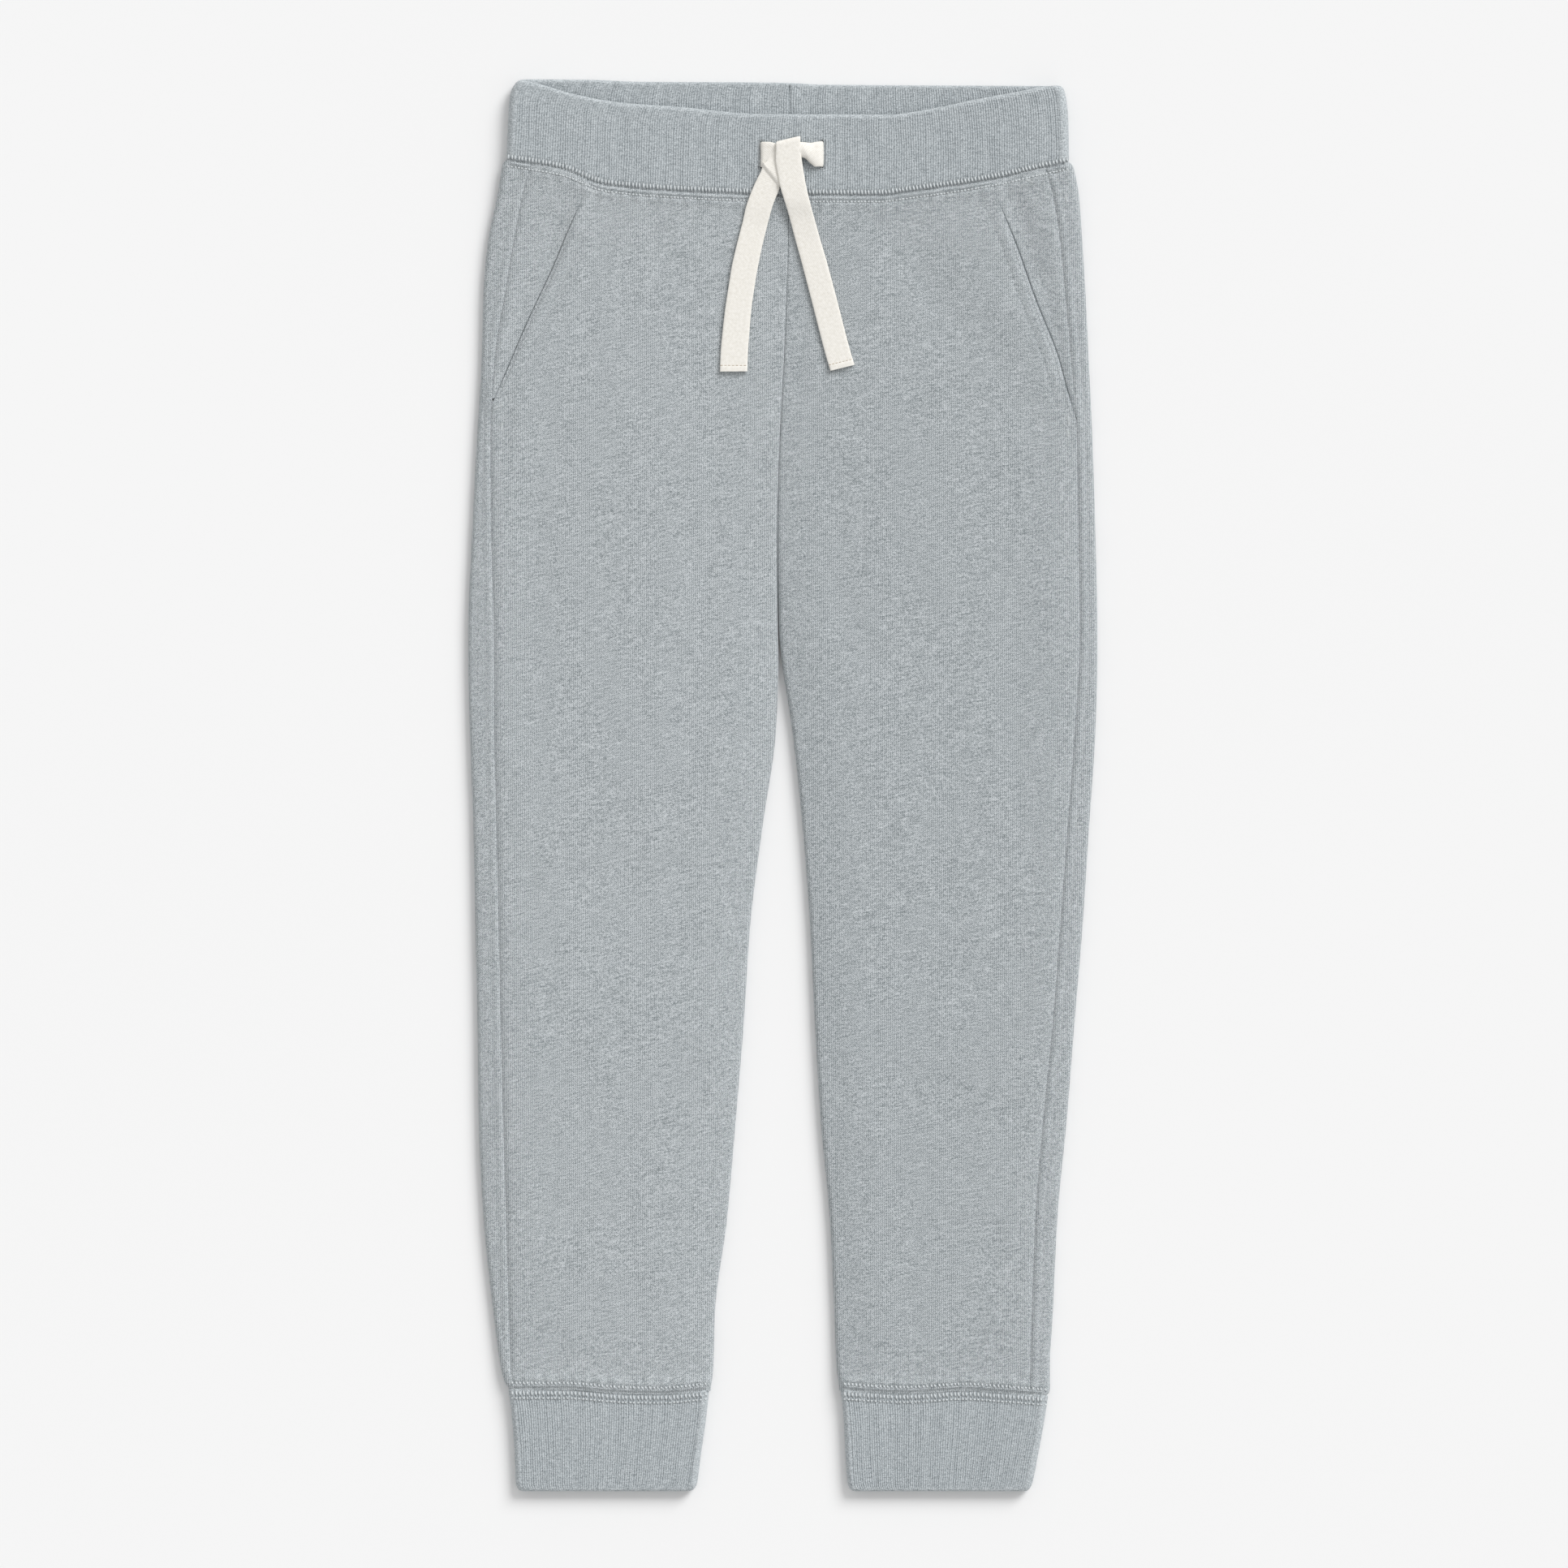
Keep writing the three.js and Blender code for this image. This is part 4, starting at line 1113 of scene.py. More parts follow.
def thread_stitches(starts, ends, radius, rise):
    """Small threads from starts to ends that rise a little between, as points and faces, with how
    far each ring has dived into the cloth for the painted shade of their ends.
    """
    starts, ends = np.asarray(starts), np.asarray(ends)
    count, rings = len(starts), len(THREAD_TAPER)
    t = np.linspace(0, 1, rings)
    arch = (np.sin(math.pi * t) * rise)[:, None] * np.array([0, 0, 1])
    middle = starts[:, None] + (ends - starts)[:, None] * t[:, None] + arch
    forward = ends - starts
    side = np.cross(forward, [0, 0, 1])
    side /= np.linalg.norm(side, axis=1)[:, None]
    up = np.cross(side, forward)
    up /= np.linalg.norm(up, axis=1)[:, None]
    turn = 2 * math.pi * np.arange(THREAD_SIDES) / THREAD_SIDES
    circle = np.cos(turn)[:, None] * side[:, None] + np.sin(turn)[:, None] * up[:, None]
    points = middle[:, :, None] + radius * THREAD_TAPER[:, None, None] * circle[:, None]
    ids = np.arange(rings * THREAD_SIDES).reshape(rings, THREAD_SIDES)
    around = np.concatenate([ids, ids[:, :1]], axis=1)
    tube = grid_quads(around)
    caps = [end[corners] for end in (ids[0], ids[-1][::-1]) for corners in CAP_CORNERS]
    one = np.concatenate([tube, caps])
    offsets = np.arange(count) * rings * THREAD_SIDES
    # Painted shade: how far each ring has dived into the cloth, which darkens the thread's ends in
    # its material
    sunk = np.tile(np.repeat(THREAD_TIP_SHADE, THREAD_SIDES), count)
    return points.reshape(-1, 3), (one[None] + offsets[:, None, None]).reshape(-1, 4), sunk


def stitch_line(route, height, pitch, share, spread, seed):
    """Starts and ends of stitches along a flat route, at a height above the cloth, each a
    little out of place: along the route, or leaning across it by a spread to each side."""
    route = np.asarray(route)
    keys = np.concatenate([[0], np.cumsum(np.linalg.norm(np.diff(route, axis=0), axis=1))])
    count = int(keys[-1] / pitch)
    rng = np.random.default_rng(seed)
    shifts, lengths = UNEVEN * rng.uniform(-1, 1, (2, count))
    at = pitch * (np.arange(count) + shifts) + (keys[-1] - (count - 1 + share) * pitch) / 2

    def flat(places):
        return np.stack([np.interp(places, keys, route[:, k]) for k in (0, 1)], axis=-1)

    first, last = flat(at), flat(at + share * pitch * (1 + lengths))
    away = flat(at + pitch) - flat(at - pitch)
    across = np.stack([-away[:, 1], away[:, 0]], axis=-1)
    across *= (spread * (1 + lengths) / np.linalg.norm(away, axis=1))[:, None]
    ends = (first + across, last - across)
    return [points_of(p[:, 0], p[:, 1], height(p[:, 0], p[:, 1])) for p in ends]


def stitching(name, lines, material, slot, radius, rise):
    """One joined piece of all the stitches of some seams, with painted shade on their ends where
    they dive into the cloth.
    """
    starts, ends = (np.concatenate(side) for side in zip(*lines))
    points, faces, sunk = thread_stitches(starts, ends, radius, rise)
    piece = add_piece(name, points, faces, material)
    # The sunk attribute paints shade on the threads' ends
    piece.data.attributes.new("sunk", "FLOAT", "POINT").data.foreach_set("value", sunk)
    return piece


# Materials


def linear(hex_colour):
    """Linear colour of an sRGB hex value."""
    parts = [int(hex_colour[i:i + 2], 16) / 255 for i in (1, 3, 5)]
    return [c / 12.92 if c <= 0.04045 else ((c + 0.055) / 1.055) ** 2.4 for c in parts]


def add_node(tree, kind, inputs=(), **settings):
    """Adds a node with its settings, and with values or links on its inputs."""
    node = tree.nodes.new(kind)
    for name, value in settings.items():
        setattr(node, name, value)
    for socket, value in dict(inputs).items():
        if isinstance(value, bpy.types.NodeSocket):
            tree.links.new(value, node.inputs[socket])
        else:
            node.inputs[socket].default_value = value
    return node


def wave_scale(pitch):
    """Scale at which a Wave Texture's bands repeat at a pitch in metres."""
    return 2 * math.pi / (20 * pitch)


def new_material(name, roughness, sheen=0.0):
    """Node material with its shader alone, as rough as said and with a soft sheen."""
    material = bpy.data.materials.new(name)
    material.use_nodes = True
    tree = material.node_tree
    tree.nodes.clear()
    shader = add_node(tree, "ShaderNodeBsdfPrincipled", {
        "Roughness": roughness, "Sheen Weight": sheen, "Sheen Roughness": 0.5,
    })
    add_node(tree, "ShaderNodeOutputMaterial", {"Surface": shader.outputs["BSDF"]})
    return material, tree, shader


# Jersey face: upright wales 0.85 mm apart, and slanted rows of stitches 0.63 mm apart
KNIT_LINES = (
    {"pitch": 0.85 * MM, "heading": 90, "weight": 0.13},
    {"pitch": 0.63 * MM, "heading": 142, "weight": 0.15},
)
STREAK = (5 * MM, 0.42 * MM, 0.42 * MM)
NAP_GRAIN = 0.52 * MM

# Weight of the streaks beside the grain, and the values that the two colours stand for
STREAK_WEIGHT = 0.42
FLEECE_RANGE = (0.68, 1.02)
RIB_RANGE = (0.505, 0.885)
KNIT_BUMP = {"strength": 0.5, "distance": 0.22 * MM}

# Slant of the knitted rows on each side of the front, and how much darker its colour is painted:
# painted shade that leaves the right leg a little darker than the left
CLOTH_SIDES = {
    "left": {"heading": 12, "darker": -0.002},
    "right": {"heading": 9, "darker": 0.012},
}


def heather(tree, place, streak, heading, grain_size, seed):
    """Mottle of darker and lighter fibres: a fine grain, and short streaks along a heading."""
    streaks_at = add_node(tree, "ShaderNodeMapping", {
        "Vector": place, "Location": (seed, 0, 0),
        "Rotation": (0, 0, math.radians(heading)), "Scale": streak,
    }, vector_type="TEXTURE")
    streaks = add_node(tree, "ShaderNodeTexNoise", {
        "Vector": streaks_at.outputs["Vector"], "Scale": 1.0, "Detail": 2.0, "Roughness": 0.6,
    })
    grain = add_node(tree, "ShaderNodeTexNoise", {
        "Vector": place, "Scale": 1 / grain_size, "Detail": 2.0, "Roughness": 0.8,
    })
    mottle = add_node(tree, "ShaderNodeMath", {
        0: streaks.outputs["Fac"], 1: STREAK_WEIGHT, 2: grain.outputs["Fac"],
    }, operation="MULTIPLY_ADD")
    return mottle.outputs["Value"], grain.outputs["Fac"]


def tinted(tree, shader, value, low, high, colours):
    """Base colour from the darker to the lighter fibres, as a value goes from low to high."""
    ramp = add_node(tree, "ShaderNodeMapRange", {
        "Value": value, "From Min": low, "From Max": high,
    })
    tint = add_node(tree, "ShaderNodeMix", {
        0: ramp.outputs["Result"], 6: (*colours["dark"], 1), 7: (*colours["light"], 1),
    }, data_type="RGBA")
    tree.links.new(tint.outputs[2], shader.inputs["Base Color"])


def knobbly(tree, shader, height, strength, distance):
    """Bump from a height."""
    bump = add_node(tree, "ShaderNodeBump", {
        "Height": height, "Strength": strength, "Distance": distance,
    })
    tree.links.new(bump.outputs["Normal"], shader.inputs["Normal"])


def fleece_material(name, colours, side):
    """Brushed fleece with a heather jersey face: matt, with soft streaks of darker and lighter
    fibre along the knitted rows, fine upright wales, slanted rows of stitches and a little nap."""
    material, tree, shader = new_material(name, roughness=0.95, sheen=0.2)
    place = add_node(tree, "ShaderNodeTexCoord").outputs["Object"]
    knit, relief = heather(tree, place, STREAK, side["heading"], NAP_GRAIN, 0)
    for row in KNIT_LINES:
        lines_at = add_node(tree, "ShaderNodeMapping", {
            "Vector": place, "Rotation": (0, 0, math.radians(90 - row["heading"])),
        })
        lines = add_node(tree, "ShaderNodeTexWave", {
            "Vector": lines_at.outputs["Vector"], "Scale": wave_scale(row["pitch"]),
            "Distortion": 0.8, "Detail": 2.0, "Detail Scale": 0.8,
        }, wave_type="BANDS", bands_direction="X", wave_profile="SIN").outputs["Fac"]
        knit, relief = (
            add_node(tree, "ShaderNodeMath", {0: lines, 1: share, 2: value},
                     operation="MULTIPLY_ADD").outputs["Value"]
            for share, value in ((row["weight"], knit), (2 * row["weight"], relief))
        )
    # Painted shade: the colour range shifts by the side's darkness
    low, high = (end + side["darker"] for end in FLEECE_RANGE)
    tinted(tree, shader, knit, low, high, colours)
    knobbly(tree, shader, relief, **KNIT_BUMP)
    return material


# Flecks and stitches of the rib knit
RIB_STREAK = (3.4 * MM, 0.45 * MM, 0.45 * MM)
RIB_LOOP = 0.5 * MM


def rib_material(colours):
    """Doubled heather rib knit: matt, its ribs in the mesh itself, with short flecks of darker
    and lighter fibre along the knitted rows and a grain of stitches."""
    material, tree, shader = new_material("heather_rib_knit", roughness=0.92, sheen=0.15)
    place = add_node(tree, "ShaderNodeTexCoord").outputs["Object"]
    mottle, grain = heather(tree, place, RIB_STREAK, 3, RIB_LOOP, 1)
    tinted(tree, shader, mottle, *RIB_RANGE, colours)
    knobbly(tree, shader, grain, **KNIT_BUMP)
    return material


# Twill of the tape from line to line, its weight beside the threads' own grain, and its relief
TWILL_PITCH = 0.62 * MM
TWILL_WEIGHT = 0.35
TAPE_GRAIN = 1.2 * MM
TAPE_RANGE = (0.3, 1.0)
TWILL_BUMP = {"strength": 0.35, "distance": 0.2 * MM}


def tape_material(colours):
    """Off-white cotton tape in a fine slanted twill: matt, with thread-fine ridges, the threads'
    own grain, and painted shade in the twill's hollows.
    """
    material, tree, shader = new_material("woven_cotton_tape", roughness=0.88)
    place = add_node(tree, "ShaderNodeTexCoord").outputs["UV"]
    slant = add_node(tree, "ShaderNodeMapping", {
        "Vector": place, "Rotation": (0, 0, math.radians(-45)),
    })
    twill = add_node(tree, "ShaderNodeTexWave", {
        "Vector": slant.outputs["Vector"], "Scale": wave_scale(TWILL_PITCH),
        "Distortion": 0.5, "Detail": 1.0,
    }, wave_type="BANDS", bands_direction="X", wave_profile="SIN")
    threads = add_node(tree, "ShaderNodeTexNoise", {
        "Vector": place, "Scale": 1 / TAPE_GRAIN, "Detail": 3.0,
    })
    mixed = add_node(tree, "ShaderNodeMath", {
        0: twill.outputs["Fac"], 1: TWILL_WEIGHT, 2: threads.outputs["Fac"],
    }, operation="MULTIPLY_ADD")
    # Painted shade: the colour darkens into the twill's hollows, beside the threads' own grain
    tinted(tree, shader, mixed.outputs["Value"], *TAPE_RANGE, colours)
    knobbly(tree, shader, mixed.outputs["Value"], **TWILL_BUMP)
    return material


# Colours of the threads, and the share of their colour left under the painted shade on their ends
# where they dive into the cloth
THREADS = {
    "grey_thread": {"colour": "#ced3d5", "tip_shade": 0.5},
    # The grey thread again, painted darker as shade for rows that lie sunk in the cloth
    "sunk_grey_thread": {"colour": "#abb0b3", "tip_shade": 0.42},
    "tan_thread": {"colour": "#b9a993", "tip_shade": 0.5},
}

# Fleck of a thread's twist, how much painted shade darkens its ends, and its lightest fibres
THREAD_FLECK = 0.9 * MM
TIP_SHADE_WEIGHT = -1.2
THREAD_RANGE = (-0.6, 0.75)
LIGHTEST = 1.15

# Thickness of the threads of each kind of sewing, and how far they rise above the cloth
SEWN = {
    "waist": mm(radius=0.42, rise=0.2),
    "cuff": mm(radius=0.44, rise=0.18),
    "side": mm(radius=0.24, rise=0.06),
    "tack": mm(radius=0.2, rise=0.14),
    "hem": mm(radius=0.14, rise=0.05),
}


def thread_material(name, colour, tip_shade):
    """Spun sewing thread: a soft matt fleck from its twist, and painted shade on its ends where it
    dives into the cloth through a needle hole."""
    material, tree, shader = new_material(name, roughness=0.85)
    place = add_node(tree, "ShaderNodeTexCoord").outputs["Object"]
    fleck = add_node(tree, "ShaderNodeTexNoise", {
        "Vector": place, "Scale": 1 / THREAD_FLECK, "Detail": 2.0,
    })
    # Painted shade: the thread darkens towards its ends, by how far they have dived into the cloth
    sunk = add_node(tree, "ShaderNodeAttribute", attribute_name="sunk").outputs["Fac"]
    light = linear(colour)
    shown = add_node(tree, "ShaderNodeMath", {
        0: sunk, 1: TIP_SHADE_WEIGHT, 2: fleck.outputs["Fac"],
    }, operation="MULTIPLY_ADD")
    colours = {
        "dark": [c * tip_shade for c in light], "light": [min(c * LIGHTEST, 1) for c in light],
    }
    tinted(tree, shader, shown.outputs["Value"], *THREAD_RANGE, colours)
    return material


def floor_material():
    """Matt white seamless paper, with a faint unevenness."""
    material, tree, shader = new_material("studio_paper", roughness=0.95)
    place = add_node(tree, "ShaderNodeTexCoord").outputs["Object"]
    tone = add_node(tree, "ShaderNodeTexNoise", {"Vector": place, "Scale": 3.0, "Detail": 1.0})
    tint = add_node(tree, "ShaderNodeMix", {
        0: tone.outputs["Fac"], 6: (0.895, 0.895, 0.895, 1), 7: (0.905, 0.905, 0.905, 1),
    }, data_type="RGBA")
    tree.links.new(tint.outputs[2], shader.inputs["Base Color"])
    return material


# Settings


def length_setting(name, description, default, least, most):
    """Length that a user can change, given in millimetres."""
    return FloatProperty(
        name=name, description=description, default=default * MM, min=least * MM,
        max=most * MM, subtype="DISTANCE", unit="LENGTH",
    )


def colour_setting(name, description, colour):
    """Colour that a user can change, given as a hex value."""
    return FloatVectorProperty(
        name=name, description=description, default=linear(colour), size=3, min=0, max=1,
        subtype="COLOR",
    )


class JoggerSettings(bpy.types.PropertyGroup):
    """Sizes and colours of the sweatpants that a user would change."""

    rib_pitch: length_setting(
        "Rib Pitch", "Distance from rib to rib of the waistband and cuffs", 1.03, 0.8, 3
    )
    rib_depth: length_setting("Rib Depth", "Depth of the hollows between the ribs", 0.5, 0, 1)
    stitch_length: length_setting(
        "Stitch Length", "Length of one stitch of the waist's coverstitch rows", 1.45, 0.8, 4
    )
    fleece_dark: colour_setting(
        "Fleece, Dark Fibres", "Darker heather fibres of the cloth", "#757d80"
    )
    fleece_light: colour_setting(
        "Fleece, Light Fibres", "Lighter heather fibres of the cloth", "#cfd4d7"
    )
    rib_dark: colour_setting(
        "Rib, Dark Fibres", "Darker heather fibres of the rib knit", "#7a8286"
    )
    rib_light: colour_setting(
        "Rib, Light Fibres", "Lighter heather fibres of the rib knit", "#d0d6d9"
    )
    # Painted shade: the tape's colour in the twill's hollows
    tape_hollow_shade: colour_setting(
        "Tape, Hollows", "Hollows of the drawstring's twill", "#e2ded5"
    )
    tape_light: colour_setting(
        "Tape, Threads", "Raised threads of the drawstring's twill", "#f8f5ef"
    )


def material_once(name, build, *inputs):
    """The material of that name, built the first time that it is asked for."""
    return bpy.data.materials.get(name) or build(*inputs)


def fleece(settings, side):
    """The fleece of one side, whose knitted rows run at that side's own slant, with that side's
    painted shade.
    """
    name = f"brushed_heather_fleece_{side}"
    colours = {"dark": settings.fleece_dark, "light": settings.fleece_light}
    return material_once(name, fleece_material, name, colours, CLOTH_SIDES[side])


def rib(settings):
    """The rib knit of the waistband and the cuffs."""
    colours = {"dark": settings.rib_dark, "light": settings.rib_light}
    return material_once("heather_rib_knit", rib_material, colours)


def thread(name):
    """One of the sewing threads."""
    return material_once(name, thread_material, name, *THREADS[name].values())


def lay_cloth(name, mesh, material, node):
    """Piece of cloth that shows one node of the frame, whose own part it hides."""
    piece = add_piece(name, *mesh, material)
    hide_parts(node)


# Operators

CAMERA_DISTANCE = 3.0
PHOTO_WIDTH = 656.9 * MM
PHOTO_CENTRE = (0.51 * MM, 0.34 * MM)
SENSOR_WIDTH = 36.0

# Window light, with its angles in degrees, and the even light of the room
WINDOW = {"strength": 2.3, "softness": 30, "tilt": 56, "heading": 140}
ROOM = {"Color": (1, 1, 1, 1), "Strength": 0.61}
FLOOR_SIZE = 8


class JOGGERS_OT_stage(bpy.types.Operator):
    """Add the camera straight above, a pale floor and soft studio light"""

    bl_idname = "joggers.stage"
    bl_label = "Add Stage"

    def execute(self, context):
        scene = context.scene
        camera = bpy.data.objects.new("overhead_camera", bpy.data.cameras.new("overhead_camera"))
        camera.data.sensor_width = SENSOR_WIDTH
        camera.data.lens = SENSOR_WIDTH * CAMERA_DISTANCE / PHOTO_WIDTH
        camera.location = (*PHOTO_CENTRE, CAMERA_DISTANCE)
        scene.collection.objects.link(camera)
        scene.camera = camera

        deselect_all()
        bpy.ops.mesh.primitive_plane_add(size=FLOOR_SIZE, location=(0, 0, 0))
        floor = context.active_object
        floor.name = "floor"
        floor.data.materials.append(floor_material())

        key = bpy.data.objects.new("window_light", bpy.data.lights.new("window_light", "SUN"))
        key.data.energy = WINDOW["strength"]
        key.data.angle = math.radians(WINDOW["softness"])
        key.rotation_euler = (math.radians(WINDOW["tilt"]), 0, math.radians(WINDOW["heading"]))
        scene.collection.objects.link(key)

        world = bpy.data.worlds.new("studio")
        world.use_nodes = True
        for name, value in ROOM.items():
            world.node_tree.nodes["Background"].inputs[name].default_value = value
        scene.world = world
        scene.view_settings.view_transform = "Standard"
        return {"FINISHED"}


def hem_line(over, under):
    """Row of stitches across a tape above its hemmed end, on whichever side faces up."""
    row, middle = -1 - round(HEM["length"] / TAPE_SPACING), len(TAPE_ACROSS) // 2
    levels = [side[row, 0, 2] + side[row, middle, 2] for side in (over, under)]
    face = over if levels[0] > levels[1] else under
    across = np.linspace(face[row, 1], face[row, -2], HEM["stitches"] + 1)
    across[:, 2] = face[row, middle, 2] + HEM["proud"]
    return [across[:-1], lerp(across[:-1], across[1:], HEM["share"])]


class JOGGERS_OT_drawstring(bpy.types.Operator):
    """Lay both free ends of the flat drawstring from their buttonholes down the front"""

    bl_idname = "joggers.drawstring"
    bl_label = "Add Drawstring"

    def execute(self, context):
        settings = context.scene.joggers
        colours = {"dark": settings.tape_hollow_shade, "light": settings.tape_light}
        material = material_once("woven_cotton_tape", tape_material, colours)
        ends = (("left", LEFT_TAPE, LEFT_BUTTONHOLE), ("right", RIGHT_TAPE, RIGHT_BUTTONHOLE))
        hems = []
        for side, rows, hole in ends:
            over, under, uv, middle = tape_grids(rows, hole)
            piece = add_piece(f"tape_end_{side}", *shell(over, under), material, uv)
            hems.append(hem_line(over, under))
            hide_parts(f"drawstring_{side}")
            length = float(np.linalg.norm(np.diff(middle, axis=0), axis=1).sum())
            tuple(middle[0])
        stitching("hem_stitching", hems, thread("tan_thread"), "cotton_tape", **SEWN["hem"])
        return {"FINISHED"}


# Flat sizes of the cut pieces, as far as they show
FRONT_CUT = {"flat": (0.130, 0.510), "area": 0.0560}
BACK_CUT = {"flat": (0.150, 0.515), "area": 0.0690}


class JOGGERS_OT_legs(bpy.types.Operator):
    """Lay the front and back panels of both legs"""

    bl_idname = "joggers.legs"
    bl_label = "Add Leg Panels"

    def execute(self, context):
        for side, leg in LEGS.items():
            material = fleece(context.scene.joggers, side)
            for part, grids, cut in (
                ("front", front_grids, FRONT_CUT), ("back", back_grids, BACK_CUT),
            ):
                mesh = shell(*grids(leg))
                lay_cloth(f"{part}_panel_{side}", mesh, material, f"{part}_{side}")
        return {"FINISHED"}


class JOGGERS_OT_pockets(bpy.types.Operator):
    """Set the pocket facings behind the slanted pocket mouths"""

    bl_idname = "joggers.pockets"
    bl_label = "Add Pockets"

    def execute(self, context):
        for side, leg in LEGS.items():
            material = fleece(context.scene.joggers, side)
            lay_cloth(
                f"pocket_{side}", shell(*facing_grids(leg)), material, f"pocket_facing_{side}",
            )
        return {"FINISHED"}


class JOGGERS_OT_waistband(bpy.types.Operator):
    """Add the ribbed waistband with its two buttonholes"""

    bl_idname = "joggers.waistband"
    bl_label = "Add Waistband"

    def execute(self, context):
        settings = context.scene.joggers
        mesh = ring(rib_tube(BAND, settings.rib_pitch, settings.rib_depth))
        lay_cloth("rib_waistband", mesh, rib(settings), "waistband")
        return {"FINISHED"}


class JOGGERS_OT_cuffs(bpy.types.Operator):
    """Add the ribbed cuffs"""

    bl_idname = "joggers.cuffs"
    bl_label = "Add Cuffs"

    def execute(self, context):
        settings = context.scene.joggers
        for side, tube in CUFFS.items():
            mesh = ring(rib_tube(tube, settings.rib_pitch, settings.rib_depth))
            lay_cloth(f"rib_cuff_{side}", mesh, rib(settings), f"cuff_{side}")
        return {"FINISHED"}


# Height of threads on the underside, and points along the routes of the sewing
UNDER_THREAD = 0.16 * MM
CROSS_POINTS = 160
DOWN_POINTS = 260


def seam_route(seam, left, right, offset):
    """Route beside a cross seam, at an offset up the leg."""
    x = np.linspace(left, right, CROSS_POINTS)
    return np.stack([x, read(seam, "y", x) + offset], axis=-1)


def leg_route(rows, column, top, bottom, offset):
    """Route down a leg beside a line of its table, at an offset to the right."""
    y = np.linspace(top, bottom, DOWN_POINTS)
    return np.stack([read(rows, column, y) + offset, y], axis=-1)


def on_front(leg, sink=0.0):
    """Height of a leg's upper layer with all its creases, over its pocket facing and round its
    side fold too, less the depth that thread sinks into it."""
    def height(x, y):
        outside = inside_mouth(leg, x, y) < 0
        past_seam = leg["inward"] * (x - line(leg, "seam", y)) > 0
        on_facing = outside & past_seam & ~(y < pocket_end(leg))
        lower = np.where(on_facing, facing_sunk(leg, x, y), mouth_press(leg, x, y) * ~outside)
        turned = fold_drop(leg["inward"] * (x - outer_edge(leg, y)), fold_radius(y))
        return front_height(leg, x, y) + fine_creases(leg, x, y) - lower - turned - sink

    return height


def on_both_fronts(x, y):
    """Height of whichever front lies at a place."""
    on_left = x < read(LEFT_LEG, "inner", y)
    return np.where(on_left, on_front(LEFT)(x, y), on_front(RIGHT)(x, y))


def on_tube(tube, sink):
    """Height of a rib tube's upper side, round its side folds too, less the sink of thread."""
    def height(x, y):
        sides = tube["sides"]
        from_edge = np.minimum(x - read(sides, "left", y), read(sides, "right", y) - x)
        return tube["height"] - fold_drop(from_edge, tube["height"] / 2) - sink

    return height


def on_underside(x, y):
    """Height of threads on the underside, almost sunk in the cloth that lies on the floor."""
    return 0 * x + UNDER_THREAD


CUFF_STITCH = 1.65 * MM
SIDE_STITCH = 1.9 * MM
SEWING_INSET = 0.3 * MM


def cross_lines(tube, pitch, rows):
    """Stitches of the rows beside a tube's seam, each drawn in from the tube's sides."""
    left, right = tube["left_x"] + SEWING_INSET, tube["right_x"] - SEWING_INSET
    return [
        stitch_line(seam_route(seam, left + inset, right - inset, offset), height, pitch,
                    share, spread, seed)
        for seam, inset, offset, height, share, spread, seed in rows
    ]


def waist_lines(pitch):
    """One row of tall loops on the waistband beside its seam, the row through the fleece below
    it, and two rows on the underside."""
    under, inset = straight(WAIST_SEAM), 4 * MM
    return cross_lines(BAND, pitch, (
        (WAIST_SEAM, 0, WAIST_ROWS["rib"], on_tube(BAND, 0.1 * MM), 0.3, 1.15 * MM, 1),
        (WAIST_SEAM, 0, WAIST_ROWS["fleece"], on_both_fronts, 0.86, 0, 3),
        (under, inset, 3.0 * MM, on_underside, 0.86, 0, 4),
        (under, inset, WAIST_ROWS["fleece"], on_underside, 0.86, 0, 4),
    ))


def cuff_lines(side):
    """One row of loops on either side of a cuff's seam, the row of stitches below them, and two
    rows on the underside."""
    tube, leg, inset = CUFFS[side], LEGS[side], 3 * MM
    seam, under = leg["upper"]["cuff"], leg["under"]["cuff"]
    return cross_lines(tube, CUFF_STITCH, (
        (seam, 0, CUFF_ROWS["fleece"], on_front(leg, 0.05 * MM), 0.35, 0.65 * MM, 5),
        (seam, 0, CUFF_ROWS["loops"], on_tube(tube, 0.12 * MM), 0.35, 1.05 * MM, 5),
        (seam, 0, CUFF_ROWS["rib"], on_tube(tube, 0.16 * MM), 0.72, 0, 5),
        (under, inset, CUFF_ROWS["fleece"], on_underside, 0.86, 0, 6),
        (under, inset, CUFF_ROWS["rib"], on_underside, 0.86, 0, 6),
    ))


def side_lines(leg):
    """Rows beside a leg's side seam and inside its pocket mouth."""
    inward, end = leg["inward"], pocket_end(leg)
    seam, mouth = (leg["rows"], "seam"), (leg["mouth"], "x")
    on_seam, faint, clear = (on_front(leg, sink * MM) for sink in (-0.04, 0.17, 0.08))
    inner, edge = (inward * MOUTH_ROWS[name] for name in ("inner", "edge"))
    rows = (
        (seam, 0.255, -0.249, 0, on_seam, 0.78, 7),
        (seam, 0.254, -0.248, -inward * SIDE_ROW, faint, 0.86, 8),
        (mouth, end + 34 * MM, end + 3 * MM, inner, faint, 0.86, 9),
        (mouth, 0.226, end + 2 * MM, edge, clear, 0.8, 10),
    )
    return [
        stitch_line(leg_route(*beside, top, bottom, offset), height, SIDE_STITCH, share, 0, seed)
        for beside, top, bottom, offset, height, share, seed in rows
    ]


# Bartacks that hold the ends of the pocket mouths
BARTACKS = table("x y heading length", [
    [-117.5, 149.8, 84, 3.4],
    [-118.8, 158.2, 20, 4.4],
    [-79.6, 248.0, -18, 4.2],
    [103.2, 252.4, -28, 3.6],
    [118.6, 245.2, -74, 3.2],
    [119.5, 152.2, -84, 3.6],
    [119.3, 147.0, -84, 3.0],
], ordered=False)
BARTACK = {**mm(width=1.5, pitch=0.42, sink=0.1), "share": 0.3}


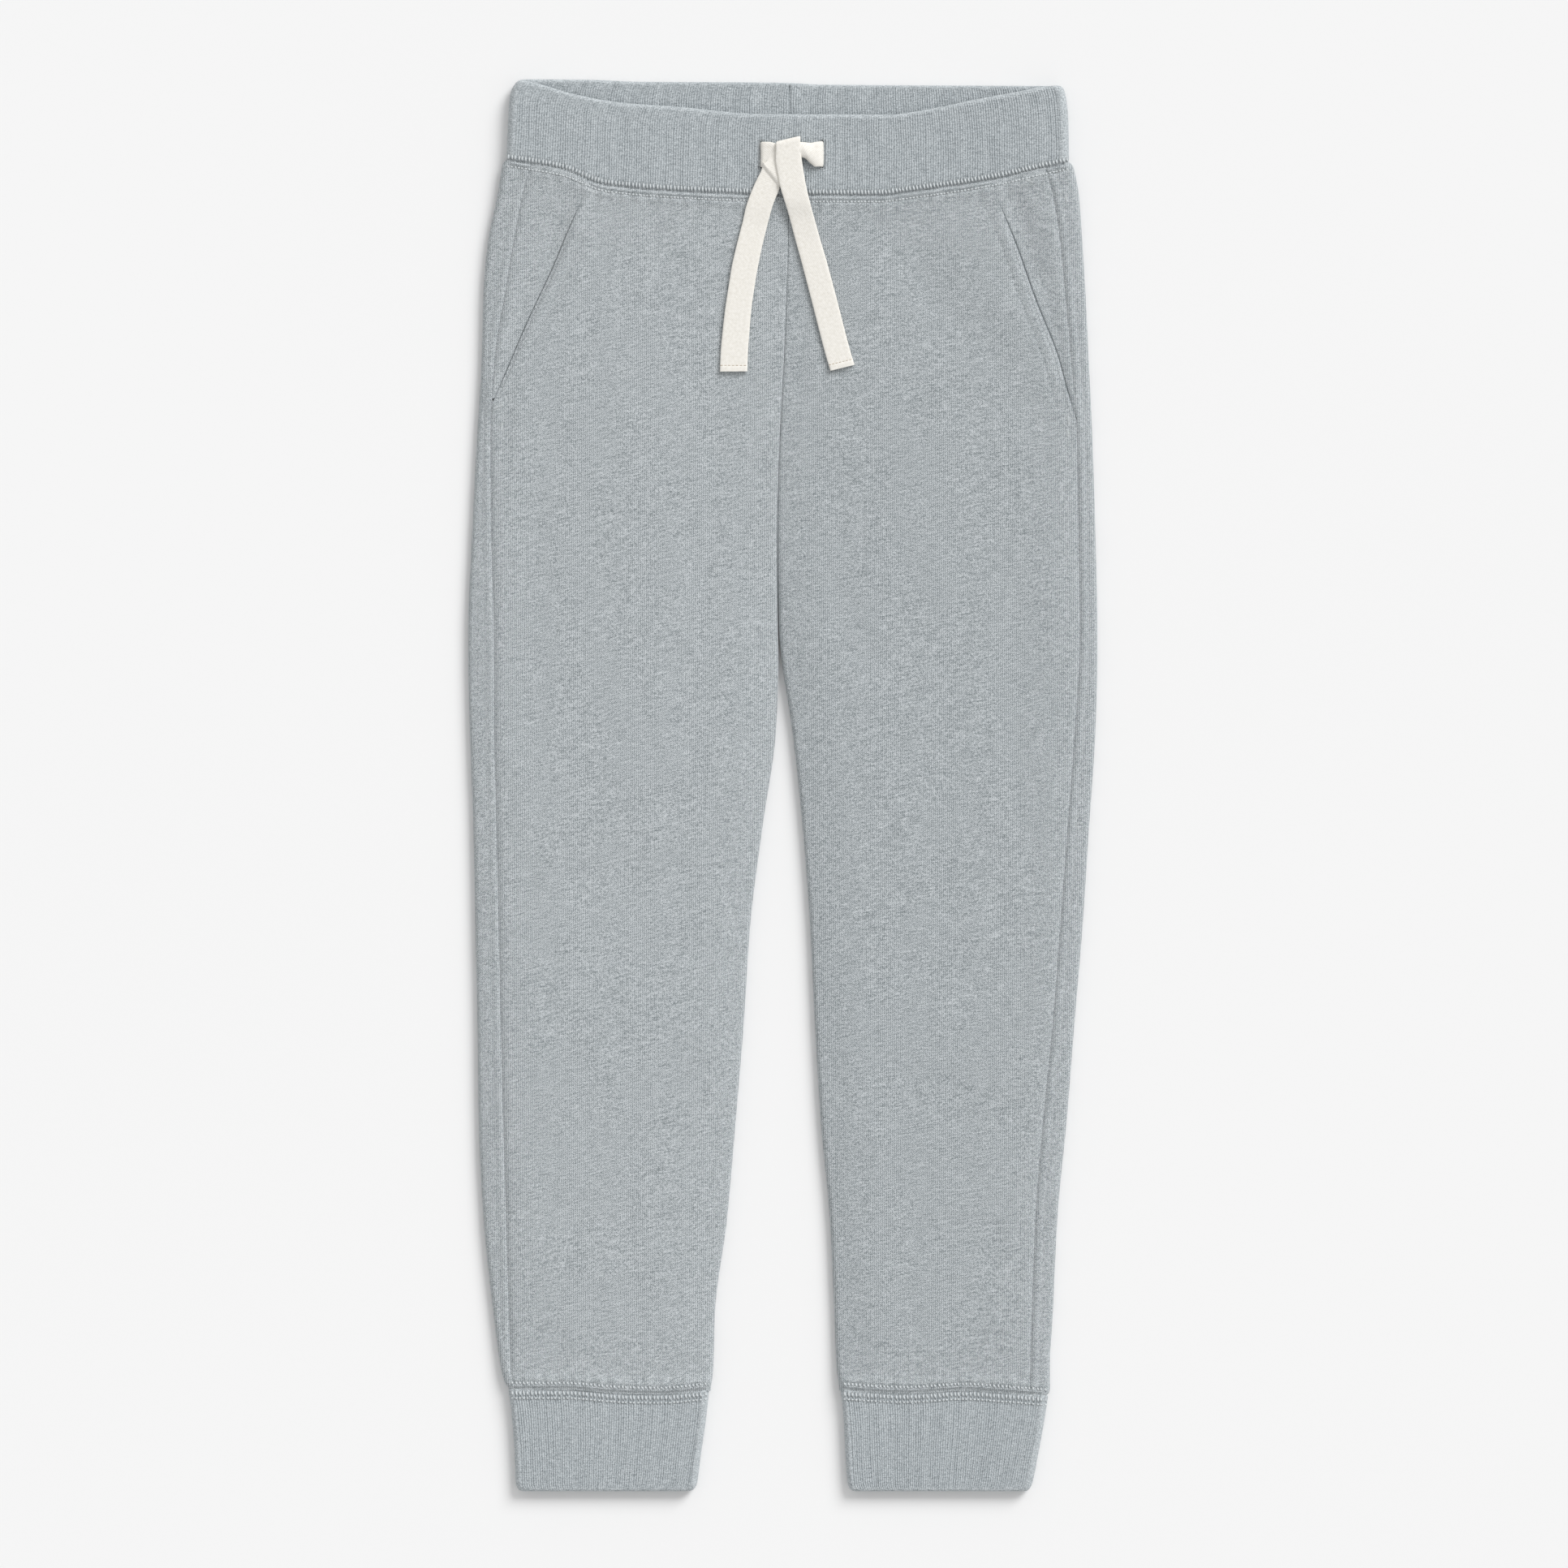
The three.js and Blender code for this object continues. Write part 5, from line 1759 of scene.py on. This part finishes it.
def bartack_lines(leg):
    """Short dense crosswise stitches of each bartack on a leg."""
    lines = []
    for x, y, heading, length in zip(*BARTACKS.values()):
        if leg["inward"] * x > 0:
            continue
        way = np.array([math.cos(math.radians(heading)), math.sin(math.radians(heading))])
        ends = [np.array([x, y]) + way * length * share for share in (-0.5, 0.5)]
        lines.append(stitch_line(ends, on_front(leg, BARTACK["sink"]), BARTACK["pitch"],
                                 BARTACK["share"], BARTACK["width"] / 2, 11))
    return lines


# Satin stitches of the buttonholes, and how far they sink at both their ends
SATIN = mm(length=0.8, pitch=0.4, outside=0.12, inside=0.5)


def buttonhole_line(slot):
    """Satin stitches that stand all round a buttonhole."""
    radius = BUTTONHOLE["width"] / 2
    reach = BUTTONHOLE["length"] / 2 - radius
    along = np.arange(-reach, reach, SATIN["pitch"])
    turn = np.arange(0, math.pi, SATIN["pitch"] / (radius + SATIN["length"] / 2))
    across = np.stack([np.cos(turn), np.sin(turn)], axis=-1)
    cores, outward = [], []
    for side in (1, -1):
        cores.append(np.stack([0 * along, along], axis=-1))
        outward.append(np.stack([0 * along + side, 0 * along], axis=-1))
        cores.append(np.stack([0 * turn, 0 * turn + side * reach], axis=-1))
        outward.append(across * side)
    cores = np.concatenate(cores) + (slot["x"], slot["y"])
    outward = np.concatenate(outward)
    ends = []
    for distance, sink in ((radius, SATIN["inside"]), (radius + SATIN["length"], SATIN["outside"])):
        flat = cores + outward * distance
        ends.append(points_of(flat[:, 0], flat[:, 1], BAND_HEIGHT - sink))
    return ends


class JOGGERS_OT_sewing(bpy.types.Operator):
    """Sew the rows of the waist, cuff and side seams, the pockets and the buttonholes"""

    bl_idname = "joggers.sewing"
    bl_label = "Add Sewing"

    def execute(self, context):
        # The second grey is the same thread painted darker, as shade for rows that lie sunk in the
        # cloth
        pale, shaded_thread = thread("grey_thread"), thread("sunk_grey_thread")
        waist = waist_lines(context.scene.joggers.stitch_length)
        stitching("waist_stitching", waist, pale, "rib", **SEWN["waist"])
        for side, leg in LEGS.items():
            stitching(f"cuff_stitching_{side}", cuff_lines(side), pale, "rib", **SEWN["cuff"])
            stitching(f"side_stitching_{side}", side_lines(leg), shaded_thread, "fleece", **SEWN["side"])
            stitching(f"bartacks_{side}", bartack_lines(leg), pale, "fleece", **SEWN["tack"])
        holes = [buttonhole_line(slot) for slot in BAND["holes"]]
        stitching("buttonhole_stitching", holes, shaded_thread, "rib", **SEWN["tack"])
        return {"FINISHED"}


class JOGGERS_PT_panel(bpy.types.Panel):
    """Sweatpants tools in the 3D view's sidebar"""

    bl_idname = "JOGGERS_PT_panel"
    bl_label = "Jogger Sweatpants"
    bl_space_type = "VIEW_3D"
    bl_region_type = "UI"
    bl_category = "Joggers"

    def draw(self, context):
        for name in JoggerSettings.__annotations__:
            self.layout.prop(context.scene.joggers, name)
        for operator in OPERATORS:
            self.layout.operator(operator.bl_idname)


OPERATORS = (
    JOGGERS_OT_stage,
    JOGGERS_OT_drawstring,
    JOGGERS_OT_legs,
    JOGGERS_OT_pockets,
    JOGGERS_OT_waistband,
    JOGGERS_OT_cuffs,
    JOGGERS_OT_sewing,
)
CLASSES = (JoggerSettings, *OPERATORS, JOGGERS_PT_panel)


def register():
    """Registers the classes and the scene's settings."""
    for item in CLASSES:
        bpy.utils.register_class(item)
    bpy.types.Scene.joggers = PointerProperty(type=JoggerSettings)


def unregister():
    """Removes the scene's settings and the classes."""
    del bpy.types.Scene.joggers
    for item in reversed(CLASSES):
        bpy.utils.unregister_class(item)


def main():
    """Builds the sweatpants and their stage."""
    register()
    for operator in OPERATORS:
        getattr(bpy.ops.joggers, operator.bl_idname.split(".")[1])()


if __name__ == "__main__":
    main()
